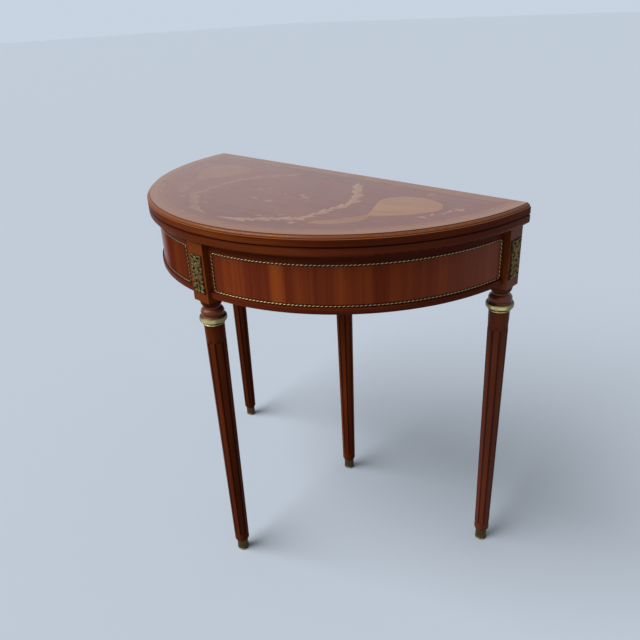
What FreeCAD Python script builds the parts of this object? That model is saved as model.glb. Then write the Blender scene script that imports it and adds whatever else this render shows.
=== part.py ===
import FreeCAD, Part
import math
import os

# Demilune games table: a half-round folding top on three fixed legs, and a fourth leg at the
# middle of the back that pulls out on a slide to carry the leaf when it lies open.
# Millimetres, +Z up, front towards -Y, origin on the floor under the middle of the closed table.

# Top
table_height = 760.0
leaf_radius = 416.0
upper_leaf_thickness = 20.0
lower_leaf_thickness = 17.0
nose_round = 4.5
nose_fillet = 1.2
ledge_width = 2.0
ledge_drop = 0.8
seam_round = 2.5
under_round = 6.0
edging_width = 22.0
veneer_thickness = 0.8
crossband_width = 27.0

# Hinges between the two leaves
hinge_count = 3
hinge_end_inset = 126.0
hinge_length = 60.0
hinge_gap = 1.0
plate_thickness = 1.5
plate_height = 12.0
knuckle_count = 5
knuckle_radius = 2.5
knuckle_end_gap = 0.3
knuckle_clearance = 0.4
pin_radius = 1.2
pin_clearance = 0.05

# Apron
apron_setback = 4.0
leaf_overhang = 20.5
apron_thickness = 20.0
apron_height = 104.0
panel_thickness = 0.6
rope_width = 4.5
rope_height = 2.2
rope_drop = 18.0
rope_rise = 13.5
rope_margin = 8.5
side_rope_margin = 6.5
left_rope_margin = 22.0
base_band_proud = 5.0
base_band_round = 2.0
base_band_gap = 0.5
glue_line = 0.05

# Legs
block_size = 42.0
block_proud = 10.5
block_drop = 10.0
back_overhang = 3.0
shoulder_height = 13.5
shoulder_radius = 20.0
neck_radius = 15.5
neck_height = 3.0
bulb_radius = 21.8
bulb_height = 13.5
waist_radius = 20.5
flare_radius = 23.2
flare_height = 2.0
collar_radius = 25.8
collar_lip_radius = 21.5
collar_rise = 6.0
collar_drop = 6.5
collar_seat_radius = 19.8
cove_height = 1.5
cove_depth = 1.2
bead_radius = 21.0
bead_height = 3.0
bead_seat_radius = 18.9
shaft_top_radius = 19.4
shaft_bottom_radius = 15.2
shaft_end_height = 11.0
flute_count = 8
flute_width_top = 4.6
flute_width_bottom = 3.8
flute_depth = 1.6
flute_top_margin = 38.6
flute_bottom_margin = 12.0
ring_clearance = 0.05

# Feet
foot_height = 24.0
foot_neck_radius = 9.6
foot_base_radius = 12.0
foot_base_height = 5.0
foot_base_round = 1.25
foot_pin_radius = 4.0
foot_pin_length = 14.0
foot_pin_gap = 0.3

# Joinery of rails and legs
rail_thickness = 18.0
tenon_length = 14.0
tenon_thickness = 9.0
tenon_shoulder = 12.0
tenon_root = 5.0

# Ornamental plaques on the leg blocks
plaque_width = 34.0
plaque_height = 73.0
plaque_base = 1.2
plaque_bevel = 1.6
plaque_relief = 1.0
plaque_drop = 23.0
boss_count = 3
boss_spacing = 19.0
boss_radius = 6.0
boss_height = 1.6
plaque_pin_radius = 0.8
plaque_pin_head = 1.6
plaque_pin_length = 8.0
plaque_pin_inset = 4.0

# Slide that carries the back leg
slide_half_width = 109.0
slide_side_gap = 1.0
slide_top_gap = 0.5
slide_bottom_gap = 0.5
runner_width = 18.0
runner_height = 60.0
runner_rise = 21.0
runner_inset = 3.0
runner_side_gap = 0.5
runner_seat_gap = 0.3
tie_width = 60.0
tie_overhang = 14.0
tie_top_gap = 0.5
tie_front_gap = 35.0

# Bearers that guide the slide
bearer_width = 20.0
bearer_ledge = 16.0
bearer_lip_gap = 1.0
bearer_back_gap = 0.5
curved_seat_gap = 0.2

# Glue blocks and the buttons that hold the lower leaf down
glue_block_width = 28.0
glue_block_depth = 18.0
glue_block_height = 60.0
button_angles = (-24.0, -44.0, -64.0)
button_length = 24.0
button_width = 36.0
button_thickness = 14.0
button_screw_bite = 8.5

# Wood screws
screw_head_radius = 3.6
screw_shank_radius = 1.8
screw_bite = 16.0
small_screw_head_radius = 2.4
small_screw_shank_radius = 1.2
small_screw_length = 13.0
plate_screw_rise = 7.0
plate_screw_spacing = 20.0
runner_screw_inset = 15.0
tie_screw_spacing = 30.0

# Places worked out from the sizes above
Vector = FreeCAD.Vector
origin = Vector(0, 0, 0)
up = Vector(0, 0, 1)
backward = Vector(0, 1, 0)
sideways = Vector(1, 0, 0)
round_share = math.sin(math.radians(45))

back_reach = max(hinge_gap / 2 + knuckle_radius, collar_radius - block_size / 2 - back_overhang)
back_y = (leaf_radius - back_reach) / 2
hinge_y = back_y + hinge_gap / 2
seam_z = table_height - upper_leaf_thickness
leaf_underside = seam_z - lower_leaf_thickness
core_radius = leaf_radius - edging_width

arc_y = back_y - apron_setback
apron_radius = leaf_radius - leaf_overhang
apron_inner = apron_radius - apron_thickness
apron_bottom = leaf_underside - apron_height
half_block = block_size / 2
rail_back_y = back_y - back_overhang
rail_front_y = rail_back_y - rail_thickness
leg_row_y = rail_back_y - half_block
apron_end_y = leg_row_y - half_block
block_face = apron_radius + block_proud
side_leg_x = block_face - half_block
front_leg_y = arc_y - block_face + half_block
inner_block_x = side_leg_x - half_block

block_bottom = apron_bottom - block_drop
neck_top = block_bottom - shoulder_height
neck_bottom = neck_top - neck_height
flare_top = neck_bottom - bulb_height
collar_top = flare_top - flare_height
collar_middle = collar_top - collar_rise
collar_bottom = collar_middle - collar_drop
cove_bottom = collar_bottom - cove_height
shaft_top = cove_bottom - bead_height
shaft_bottom = foot_height + shaft_end_height

slide_top = seam_z - upper_leaf_thickness - slide_top_gap
slide_bottom = apron_bottom + slide_bottom_gap
rail_end_x = slide_half_width + slide_side_gap
runner_outer_x = slide_half_width - runner_inset
runner_inner_x = runner_outer_x - runner_width
runner_bottom = apron_bottom + runner_rise
runner_top = runner_bottom + runner_height
tie_half = rail_end_x + tie_overhang
runner_front_y = arc_y - math.sqrt(apron_inner ** 2 - tie_half ** 2) + tie_front_gap
tie_back_y = runner_front_y + tie_width

hinge_spacing = leaf_radius - hinge_end_inset
hinge_places = [(index - (hinge_count - 1) / 2) * hinge_spacing for index in range(hinge_count)]
leg_names = ("front", "right", "left", "back")
leg_places = {
    "front": (0.0, front_leg_y),
    "right": (side_leg_x, leg_row_y),
    "left": (-side_leg_x, leg_row_y),
    "back": (0.0, leg_row_y),
}


def box(x_range, y_range, z_range):
    """Block between the low and high limits on each axis."""
    size = [high - low for low, high in (x_range, y_range, z_range)]
    return Part.makeBox(*size, Vector(x_range[0], y_range[0], z_range[0]))


def post(radius, low, high, x=0.0, y=0.0):
    """Upright cylinder between two heights."""
    return Part.makeCylinder(radius, high - low, Vector(x, y, low))


def moved(shape, x, y, z=0.0):
    """Copy of a shape, shifted."""
    return shape.translated(Vector(x, y, z))


def turned_about(shape, degrees, x=0.0, y=0.0):
    """Copy of a shape, turned about an upright line."""
    return shape.rotated(Vector(x, y, 0), up, degrees)


def mirrored(shape):
    """Copy of a right-hand shape for the left-hand side."""
    return shape.mirror(origin, sideways)


def outline(start, moves):
    """Face on the XZ plane: a move of two numbers is a line, one of four an arc through a point."""
    first = Vector(start[0], 0, start[1])
    here = first
    edges = []
    for move in moves:
        there = Vector(move[-2], 0, move[-1])
        if len(move) == 2:
            edges.append(Part.LineSegment(here, there).toShape())
        else:
            middle = Vector(move[0], 0, move[1])
            edges.append(Part.Arc(here, middle, there).toShape())
        here = there
    edges.append(Part.LineSegment(here, first).toShape())
    return Part.Face(Part.Wire(edges))


def turning(start, moves, degrees=360.0):
    """Solid of revolution about the Z axis, from an outline of radii and heights."""
    return outline(start, moves).revolve(origin, up, degrees)


def swept_arc(start, moves, first_angle, last_angle):
    """Outline of radii and heights carried round the apron's arc between two angles."""
    face = outline(start, moves).rotated(origin, up, first_angle)
    return moved(face.revolve(origin, up, last_angle - first_angle), 0, arc_y)


def half_disc(radius, low, high):
    """Half-round board in front of the leaves' back edge."""
    board = Part.makeCylinder(radius, high - low, Vector(0, 0, low), up, 180)
    return moved(turned_about(board, 180), 0, back_y)


def apron_band(inner, outer, low, high):
    """Ring about the apron's centre."""
    return post(outer, low, high, 0, arc_y).cut(post(inner, low, high, 0, arc_y))


def screw(head_radius, shank_radius, length, place, direction):
    """Countersunk wood screw whose head lies flush at the given place."""
    head_depth = head_radius - shank_radius
    head = Part.makeCone(head_radius, shank_radius, head_depth, place, direction)
    start = place + direction * head_depth
    shank = Part.makeCylinder(shank_radius, length - head_depth, start, direction)
    return head.fuse(shank).removeSplitter()


def save(name, *solids):
    """Write one node, a single solid or a group of like ones."""
    shape = solids[0] if len(solids) == 1 else Part.makeCompound(list(solids))
    shape.exportStep("parts/" + name + ".step")


def leaf_edging(low, high, low_round, upper_moves):
    """Solid lipping round the curved edge of a leaf; its moves above the lower round are given."""
    corner = leaf_radius - low_round
    middle = (corner + low_round * round_share, low + low_round * (1 - round_share))
    moves = [(corner, low), (*middle, leaf_radius, low + low_round), *upper_moves, (core_radius, high)]
    return moved(turning((core_radius, low), moves, -180), 0, back_y)


def upper_round(radius, face, top):
    """Moves up a vertical face and over a quarter round to its top."""
    corner = face - radius
    return [(face, top - radius), (corner + radius * round_share, top - radius * (1 - round_share), corner, top)]


def hinge_barrel(radius, place, first=0, last=knuckle_count, end_gap=0.0):
    """Cylinder on the hinge line, from the start of one knuckle to the end of another."""
    step = hinge_length / knuckle_count
    start = place - hinge_length / 2 + first * step + end_gap
    length = (last - first) * step - 2 * end_gap
    return Part.makeCylinder(radius, length, Vector(start, hinge_y, seam_z), sideways)


def plate_block(place, side):
    """Space that a hinge plate takes in the back edge of a leaf; side is -1 below the seam, 1 above."""
    reach = seam_z + side * plate_height
    heights = (min(seam_z, reach), max(seam_z, reach))
    half = hinge_length / 2
    return box((place - half, place + half), (back_y - plate_thickness, back_y), heights)


def plate_screws(place, side):
    """Three screws that hold a hinge plate to its leaf."""
    height = seam_z + side * plate_screw_rise
    offsets = [step * plate_screw_spacing for step in (-1, 0, 1)]
    sizes = (small_screw_head_radius, small_screw_shank_radius, small_screw_length)
    return [screw(*sizes, Vector(place + offset, back_y, height), -backward) for offset in offsets]


def hinge_plate(place, side):
    """Plate with its share of the knuckles: the even ones on the lower leaf, the odd on the upper."""
    own = range(0, knuckle_count, 2) if side < 0 else range(1, knuckle_count, 2)
    plate = plate_block(place, side)
    for index in range(knuckle_count):
        if index not in own:
            plate = plate.cut(hinge_barrel(knuckle_radius + knuckle_clearance, place, index, index + 1))
    for index in own:
        plate = plate.fuse(hinge_barrel(knuckle_radius, place, index, index + 1, knuckle_end_gap))
    plate = plate.cut(hinge_barrel(pin_radius + pin_clearance, place))
    return plate.cut(plate_screws(place, side)).removeSplitter()


def hinged(leaf, side):
    """Leaf with the housings for its hinge plates, knuckles and screws."""
    for place in hinge_places:
        barrel = hinge_barrel(knuckle_radius + knuckle_clearance, place)
        leaf = leaf.cut([plate_block(place, side), barrel] + plate_screws(place, side))
    return leaf


def tenon_heights():
    """Heights between the shoulders of every rail's tenon."""
    return (apron_bottom + tenon_shoulder, leaf_underside - tenon_shoulder)


def apron_middle(offset):
    """Distance from the apron's centre to its middle line, measured square to an offset."""
    return math.sqrt((apron_inner + apron_thickness / 2) ** 2 - offset ** 2)


def apron_tenons(root):
    """Tenons of the right apron, in the front and the right leg; root is the length left in the rail."""
    half = tenon_thickness / 2
    middle_y = arc_y - apron_middle(half_block)
    middle_x = apron_middle(arc_y - apron_end_y)
    front_run = (half_block - tenon_length, half_block + root)
    side_run = (apron_end_y - root, apron_end_y + tenon_length)
    front = box(front_run, (middle_y - half, middle_y + half), tenon_heights())
    side = box((middle_x - half, middle_x + half), side_run, tenon_heights())
    return front, side


def rail_tenon(first_x, last_x):
    """Tenon on the middle line of the back rail or of the slide's head."""
    middle = (rail_back_y + rail_front_y) / 2
    half = tenon_thickness / 2
    return box((first_x, last_x), (middle - half, middle + half), tenon_heights())


def shaft_radius(height):
    """Radius of the tapered shaft at a height."""
    share = (height - shaft_bottom) / (shaft_top - shaft_bottom)
    return shaft_bottom_radius + share * (shaft_top_radius - shaft_bottom_radius)


def flute():
    """Cutter for one stopped flute, along the shaft on the +X side."""
    ends = []
    for height, width in (
        (shaft_top - flute_top_margin, flute_width_top),
        (shaft_bottom + flute_bottom_margin, flute_width_bottom),
    ):
        radius = (width ** 2 / 4 + flute_depth ** 2) / (2 * flute_depth)
        ends.append((radius, Vector(shaft_radius(height) + radius - flute_depth, 0, height)))
    (top_radius, top), (bottom_radius, bottom) = ends
    run = bottom - top
    groove = Part.makeCone(top_radius, bottom_radius, run.Length, top, run)
    return groove.fuse([Part.makeSphere(top_radius, top), Part.makeSphere(bottom_radius, bottom)])


def leg_turning():
    """Turned part of a leg on the Z axis: shoulder, neck, bulb, flare, fluted shaft and foot pin."""
    shoulder_bulge = neck_radius + (shoulder_radius - neck_radius) * round_share
    bulb_middle = (neck_bottom + flare_top) / 2
    flare_hollow = flare_radius - (flare_radius - waist_radius) * round_share
    moves = [
        (shoulder_radius, block_bottom),
        (shoulder_bulge, neck_top + shoulder_height * (1 - round_share), neck_radius, neck_top),
        (neck_radius, neck_bottom),
        (bulb_radius, bulb_middle, waist_radius, flare_top),
        (flare_hollow, flare_top - flare_height * round_share, flare_radius, collar_top),
        (collar_seat_radius, collar_top),
        (collar_seat_radius, collar_bottom),
        (bead_seat_radius - cove_depth, (collar_bottom + cove_bottom) / 2, bead_seat_radius, cove_bottom),
        (bead_seat_radius, shaft_top),
        (shaft_top_radius, shaft_top),
        (shaft_bottom_radius, shaft_bottom),
        (
            foot_neck_radius + (shaft_bottom_radius - foot_neck_radius) * round_share,
            foot_height + shaft_end_height * (1 - round_share),
            foot_neck_radius,
            foot_height,
        ),
        (foot_pin_radius, foot_height),
        (foot_pin_radius, foot_height - foot_pin_length),
        (0, foot_height - foot_pin_length),
    ]
    solid = turning((0, block_bottom), moves)
    step = 360 / flute_count
    cutter = flute()
    return solid.cut([turned_about(cutter, index * step) for index in range(flute_count)])


def collar():
    """Polished ring that slips up the shaft and seats under the flare."""
    bore = collar_seat_radius + ring_clearance
    upper_swell = flare_radius + (collar_radius - flare_radius) * round_share
    lower_swell = collar_lip_radius + (collar_radius - collar_lip_radius) * round_share
    moves = [
        (flare_radius, collar_top),
        (upper_swell, collar_middle + collar_rise * round_share, collar_radius, collar_middle),
        (lower_swell, collar_middle - collar_drop * round_share, collar_lip_radius, collar_bottom),
        (bore, collar_bottom),
    ]
    return turning((bore, collar_top), moves)


def bead():
    """Thin ring at the head of the shaft."""
    bore = bead_seat_radius + ring_clearance
    moves = [
        (shaft_top_radius, cove_bottom),
        (bead_radius, (cove_bottom + shaft_top) / 2, shaft_top_radius, shaft_top),
        (bore, shaft_top),
    ]
    return turning((bore, cove_bottom), moves)


def foot():
    """Turned foot with a blind hole for the leg's pin."""
    bore = foot_pin_radius + ring_clearance
    waist = foot_base_height + (foot_height - foot_base_height) / 2
    moves = [
        (foot_base_radius - foot_base_round, 0),
        (foot_base_radius, foot_base_height / 2, foot_base_radius - foot_base_round, foot_base_height),
        (foot_neck_radius - cove_depth, waist, foot_neck_radius, foot_height),
        (bore, foot_height),
        (bore, foot_height - foot_pin_length - foot_pin_gap),
        (0, foot_height - foot_pin_length - foot_pin_gap),
    ]
    return turning((0, 0), moves)


def plaque_nails():
    """Nails of a plaque that faces -Y with its back at the origin, one above and one below."""
    nails = []
    for side in (-1, 1):
        height = side * (plaque_height / 2 - plaque_pin_inset)
        face = Vector(0, -plaque_base - plaque_relief, height)
        shank = Part.makeCylinder(plaque_pin_radius, plaque_pin_length, face, backward)
        cap = Part.makeSphere(plaque_pin_head, face, -backward, 0, 90, 360)
        nails.append(shank.fuse(cap).removeSplitter())
    return nails


def plaque():
    """Cast plaque that faces -Y: a base, a bevelled field and a row of raised bosses."""
    half = (plaque_width / 2, plaque_height / 2)

    def frame_at(depth, inset):
        corners = [(-1, -1), (1, -1), (1, 1), (-1, 1), (-1, -1)]
        points = [Vector(x * (half[0] - inset), -depth, z * (half[1] - inset)) for x, z in corners]
        return Part.makePolygon(points)

    heights = (-half[1], half[1])
    face_depth = plaque_base + plaque_relief
    base = box((-half[0], half[0]), (-plaque_base, 0), heights)
    field = Part.makeLoft([frame_at(plaque_base, 0), frame_at(face_depth, plaque_bevel)], True, True)
    body = base.fuse(field)
    ball = (boss_radius ** 2 + boss_height ** 2) / (2 * boss_height)
    centre_y = ball - boss_height - face_depth
    for row in range(boss_count):
        height = (row - (boss_count - 1) / 2) * boss_spacing
        dome = Part.makeSphere(ball, Vector(0, centre_y, height))
        above = box((-ball, ball), (-face_depth - boss_height, -plaque_base), heights)
        body = body.fuse(dome.common(above))
    return body.removeSplitter().cut(plaque_nails())


def leg(place, head_top, mortises):
    """One leg at its place: square block with its mortises, and the turning below it."""
    x, y = place
    block = box((x - half_block, x + half_block), (y - half_block, y + half_block), (block_bottom, head_top))
    return block.fuse(moved(leg_turning(), x, y)).removeSplitter().cut(mortises)


def rope_frame(first_angle, last_angle, low, high):
    """Four lengths of half-round moulding round an apron panel."""
    half = rope_width / 2
    half_angle = math.degrees(half / apron_radius)
    seat = apron_radius + glue_line
    crown = seat + rope_height
    angles = (first_angle - half_angle, last_angle + half_angle)
    lengths = []
    for height in (low, high):
        moves = [(crown, height, seat, height + half)]
        lengths.append(swept_arc((seat, height - half), moves, *angles))
    near = Vector(seat, -half, 0)
    far = Vector(seat, half, 0)
    crest = Part.Arc(near, Vector(crown, 0, 0), far)
    profile = Part.Wire([crest.toShape(), Part.LineSegment(far, near).toShape()])
    upright = Part.Face(profile).extrude(up * (high - low - rope_width))
    for angle in (first_angle, last_angle):
        lengths.append(moved(turned_about(upright, angle), 0, arc_y, low + half))
    return lengths


def framed_panel(front_margin, side_angle, low, high):
    """Rope frame of a right-hand apron from a margin beside the front leg, and the veneer inside it."""
    front_angle = -math.degrees(math.acos((half_block + front_margin) / apron_radius))
    half = rope_width / 2
    half_angle = math.degrees(half / apron_radius)
    seat = apron_radius + glue_line
    face = seat + panel_thickness
    moves = [(face, low + half), (face, high - half), (seat, high - half)]
    panel = swept_arc((seat, low + half), moves, front_angle + half_angle, side_angle - half_angle)
    return rope_frame(front_angle, side_angle, low, high), panel


def top_buttons():
    """Buttons and their screws, inside the right apron and under the lower leaf."""
    outer = math.sqrt((apron_inner - curved_seat_gap) ** 2 - button_width ** 2 / 4)
    inner = outer - button_length
    low = leaf_underside - button_thickness
    length = button_thickness + button_screw_bite
    block = box((inner, outer), (-button_width / 2, button_width / 2), (low, leaf_underside))
    fixing = screw(screw_head_radius, screw_shank_radius, length, Vector((inner + outer) / 2, 0, low), up)
    blocks = []
    fixings = []
    for angle in button_angles:
        blocks.append(moved(turned_about(block.cut(fixing), angle), 0, arc_y))
        fixings.append(moved(turned_about(fixing, angle), 0, arc_y))
    return blocks, fixings


os.makedirs("parts", exist_ok=True)

# Upper leaf: board, lipping and the veneers of its show face
veneer_seat = table_height - veneer_thickness
field_radius = core_radius - crossband_width
save("upper_leaf", hinged(half_disc(core_radius, seam_z, veneer_seat), 1))
nose_top = table_height - nose_fillet
nose_face = leaf_radius - ledge_width
ledge_height = nose_top - nose_round - ledge_drop
nose = [
    (leaf_radius, ledge_height),
    (nose_face, ledge_height),
    *upper_round(nose_round, nose_face, nose_top),
    (nose_face - nose_round, table_height),
]
save("upper_edging", leaf_edging(seam_z, table_height, seam_round, nose))
face = half_disc(core_radius, veneer_seat, table_height)
field_depth = (back_y - leaf_radius, back_y - crossband_width)
field_space = box((-leaf_radius, leaf_radius), field_depth, (veneer_seat, table_height))
field = half_disc(field_radius, veneer_seat, table_height).common(field_space)
save("top_marquetry", field)
save("top_crossband", face.cut(field))

# Buttons under the lower leaf, then the leaf with their screw holes
right_buttons, right_button_screws = top_buttons()
buttons = right_buttons + [mirrored(shape) for shape in right_buttons]
button_screws = right_button_screws + [mirrored(shape) for shape in right_button_screws]
save("top_buttons", *buttons)
save("top_button_screws", *button_screws)
save("lower_leaf", hinged(half_disc(core_radius, leaf_underside, seam_z).cut(button_screws), -1))
lower_nose = upper_round(seam_round, leaf_radius, seam_z)
save("lower_edging", leaf_edging(leaf_underside, seam_z, under_round, lower_nose))

# Hinges along the back edge
for name, place in zip(("left", "middle", "right"), hinge_places):
    save(name + "_hinge_lower", hinge_plate(place, -1))
    save(name + "_hinge_upper", hinge_plate(place, 1))
    save(name + "_hinge_pin", hinge_barrel(pin_radius, place))
save("hinge_lower_screws", *[item for place in hinge_places for item in plate_screws(place, -1)])
save("hinge_upper_screws", *[item for place in hinge_places for item in plate_screws(place, 1)])

# Curved aprons with a proud band along the foot, veneered panels and rope mouldings
rope_low = apron_bottom + rope_rise
rope_high = leaf_underside - rope_drop
reach = 2 * leaf_radius
quarter = box((half_block, reach), (-reach, apron_end_y), (0, table_height))
band_root = apron_radius - apron_thickness / 2
band_face = apron_radius + base_band_proud
band_top = rope_low - rope_width / 2 - base_band_gap
band_corner = base_band_round * (1 - round_share)
band_moves = [
    (band_face - base_band_round, apron_bottom),
    (band_face - band_corner, apron_bottom + band_corner, band_face, apron_bottom + base_band_round),
    (band_face, band_top),
    (band_root, band_top),
]
base_band = swept_arc((band_root, apron_bottom), band_moves, -90, 0)
right_apron = apron_band(apron_inner, apron_radius, apron_bottom, leaf_underside).fuse(base_band)
right_apron = right_apron.common(quarter).fuse(apron_tenons(tenon_root)).removeSplitter()
save("right_apron", right_apron)
save("left_apron", mirrored(right_apron))

side_angle = -math.degrees(math.asin((arc_y - apron_end_y + side_rope_margin) / apron_radius))
right_rope, right_panel = framed_panel(rope_margin, side_angle, rope_low, rope_high)
left_rope, left_panel = framed_panel(left_rope_margin, side_angle, rope_low, rope_high)
save("right_rope_frame", *right_rope)
save("left_rope_frame", *[mirrored(shape) for shape in left_rope])
save("right_apron_veneer", right_panel)
save("left_apron_veneer", mirrored(left_panel))

# Back rails, one each side of the slide
right_rail = box((rail_end_x, inner_block_x), (rail_front_y, rail_back_y), (apron_bottom, leaf_underside))
right_rail_tenon = rail_tenon(inner_block_x, inner_block_x + tenon_length)
right_rail = right_rail.fuse(right_rail_tenon).removeSplitter()
save("right_back_rail", right_rail)
save("left_back_rail", mirrored(right_rail))

# Plaques on the outward faces of the fixed legs' blocks
plaque_height_middle = leaf_underside - plaque_drop - plaque_height / 2
plaque_faces = {
    "front": (0.0, front_leg_y - half_block, 0),
    "right": (block_face, leg_row_y, 90),
    "left": (-block_face, leg_row_y, -90),
}
plaque_nail_sets = {}
for name, (x, y, angle) in plaque_faces.items():
    save(name + "_plaque", moved(turned_about(plaque(), angle), x, y, plaque_height_middle))
    nails = [moved(turned_about(nail, angle), x, y, plaque_height_middle) for nail in plaque_nails()]
    plaque_nail_sets[name] = nails
save("plaque_nails", *[nail for nails in plaque_nail_sets.values() for nail in nails])

# Legs with their rings and feet
front_tenon, side_tenon = apron_tenons(0)
head_tenon = rail_tenon(half_block - tenon_length, half_block)
right_mortises = [side_tenon, right_rail_tenon]
leg_cuts = {
    "front": [front_tenon, mirrored(front_tenon)] + plaque_nail_sets["front"],
    "right": right_mortises + plaque_nail_sets["right"],
    "left": [mirrored(shape) for shape in right_mortises] + plaque_nail_sets["left"],
    "back": [head_tenon, mirrored(head_tenon)],
}
for name in leg_names:
    head_top = slide_top if name == "back" else leaf_underside
    save(name + "_leg", leg(leg_places[name], head_top, leg_cuts[name]))
    save(name + "_leg_collar", moved(collar(), *leg_places[name]))
    save(name + "_leg_bead", moved(bead(), *leg_places[name]))
    save(name + "_foot", moved(foot(), *leg_places[name]))

# Slide: head boards beside the back leg, runners, tie and screws
head_screw_length = rail_thickness + screw_bite
runner_middle_x = (runner_outer_x + runner_inner_x) / 2
tie_top = leaf_underside - tie_top_gap
screw_size = (screw_head_radius, screw_shank_radius)
right_slide_screws = [
    screw(*screw_size, head_screw_length, Vector(runner_middle_x, rail_back_y, height), -backward)
    for height in (runner_bottom + runner_screw_inset, runner_top - runner_screw_inset)
]
tie_screw_length = tie_top - runner_top + screw_bite
tie_middle_y = tie_back_y - tie_width / 2
right_slide_screws += [
    screw(*screw_size, tie_screw_length, Vector(runner_middle_x, tie_middle_y + offset, tie_top), -up)
    for offset in (-tie_screw_spacing / 2, tie_screw_spacing / 2)
]
slide_screws = right_slide_screws + [mirrored(shape) for shape in right_slide_screws]
right_head = box((half_block, slide_half_width), (rail_front_y, rail_back_y), (slide_bottom, slide_top))
right_head = right_head.fuse(head_tenon).removeSplitter().cut(right_slide_screws)
runner_run = (runner_front_y, rail_front_y)
right_runner = box((runner_inner_x, runner_outer_x), runner_run, (runner_bottom, runner_top))
right_runner = right_runner.cut(right_slide_screws)
tie = box((-tie_half, tie_half), (runner_front_y, tie_back_y), (runner_top, tie_top))
save("right_slide_head", right_head)
save("left_slide_head", mirrored(right_head))
save("right_runner", right_runner)
save("left_runner", mirrored(right_runner))
save("runner_tie", tie.cut(slide_screws))
save("slide_screws", *slide_screws)

# Bearers: a side guide against the back rail and a ledge under each runner
guide_x = runner_outer_x + runner_side_gap
ledge_top = runner_bottom - runner_seat_gap
ledge_bottom = ledge_top - bearer_ledge
guide_top = runner_top - bearer_lip_gap
guide = box((guide_x, guide_x + bearer_width), (-reach, rail_front_y), (ledge_bottom, guide_top))
ledge = box((runner_inner_x, guide_x), (-reach, rail_front_y - bearer_back_gap), (ledge_bottom, ledge_top))
bearer_space = post(apron_inner - curved_seat_gap, 0, table_height, 0, arc_y)
right_bearer = guide.fuse(ledge).removeSplitter().common(bearer_space)
save("right_bearer", right_bearer)
save("left_bearer", mirrored(right_bearer))

# Glue blocks in the corners of the frame
glue_low = (apron_bottom + leaf_underside - glue_block_height) / 2
glue_corner = [(0, 0), (-glue_block_width, 0), (0, -glue_block_depth), (0, 0)]
glue_wire = Part.makePolygon([Vector(inner_block_x + x, rail_front_y + y, glue_low) for x, y in glue_corner])
right_corner_block = Part.Face(glue_wire).extrude(up * glue_block_height)
save("right_corner_block", right_corner_block)
save("left_corner_block", mirrored(right_corner_block))
front_inner_y = front_leg_y + half_block
glue_heights = (glue_low, glue_low + glue_block_height)
front_space = box((half_block, half_block + glue_block_width), (-reach, front_inner_y), glue_heights)
right_front_block = front_space.common(bearer_space)
save("right_front_block", right_front_block)
save("left_front_block", mirrored(right_front_block))
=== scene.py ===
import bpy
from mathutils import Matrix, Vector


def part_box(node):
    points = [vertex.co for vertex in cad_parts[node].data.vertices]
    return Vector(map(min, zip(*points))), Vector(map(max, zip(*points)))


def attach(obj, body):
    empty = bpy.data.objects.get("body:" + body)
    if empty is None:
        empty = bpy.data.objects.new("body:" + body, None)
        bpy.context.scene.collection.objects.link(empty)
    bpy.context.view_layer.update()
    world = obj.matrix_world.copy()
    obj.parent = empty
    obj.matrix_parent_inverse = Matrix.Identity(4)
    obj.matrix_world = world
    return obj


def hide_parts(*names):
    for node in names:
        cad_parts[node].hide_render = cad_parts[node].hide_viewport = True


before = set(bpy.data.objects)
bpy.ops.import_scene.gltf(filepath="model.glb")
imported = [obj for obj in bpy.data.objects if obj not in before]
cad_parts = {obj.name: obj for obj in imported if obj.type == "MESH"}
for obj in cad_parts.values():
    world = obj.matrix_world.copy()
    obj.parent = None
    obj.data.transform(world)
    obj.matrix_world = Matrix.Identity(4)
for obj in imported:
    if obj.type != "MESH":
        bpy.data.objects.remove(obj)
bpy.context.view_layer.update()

import logging
import math
from dataclasses import dataclass, field
from enum import Enum
from typing import Any, ClassVar, Dict, List, Optional, Sequence, Tuple, Union

import bmesh
import bpy
import numpy as np
from mathutils import Matrix, Vector
from mathutils.geometry import delaunay_2d_cdt

logging.basicConfig(level=logging.INFO, format="%(message)s")
log = logging.getLogger("demilune_table")

Colour = Tuple[float, float, float]
Flat = Tuple[float, float]
MM = 0.001
HANDS = ((1, "right"), (-1, "left"))


class Grain(Enum):
    """Which way the fibres of a piece run."""

    ALONG_X = "along_x"
    ALONG_Y = "along_y"
    ALONG_Z = "along_z"
    ROUND = "round"
    RADIAL = "radial"


class Veneer(Enum):
    """Woods of the marquetry, by their slot on the field's mesh."""

    GROUND = 0
    HORN = 1
    LEAF = 2
    BLOSSOM = 3
    STEM = 4


def scaled(colour: Colour, share: float) -> Colour:
    """Colour made darker or lighter by a share."""
    return tuple(part * share for part in colour)


@dataclass(frozen=True)
class Figure:
    """Noise of one scale: its cells in a metre along each axis, its detail and its roughness."""

    cells: Tuple[float, float, float]
    detail: float = 3.0
    rough: float = 0.5


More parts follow.
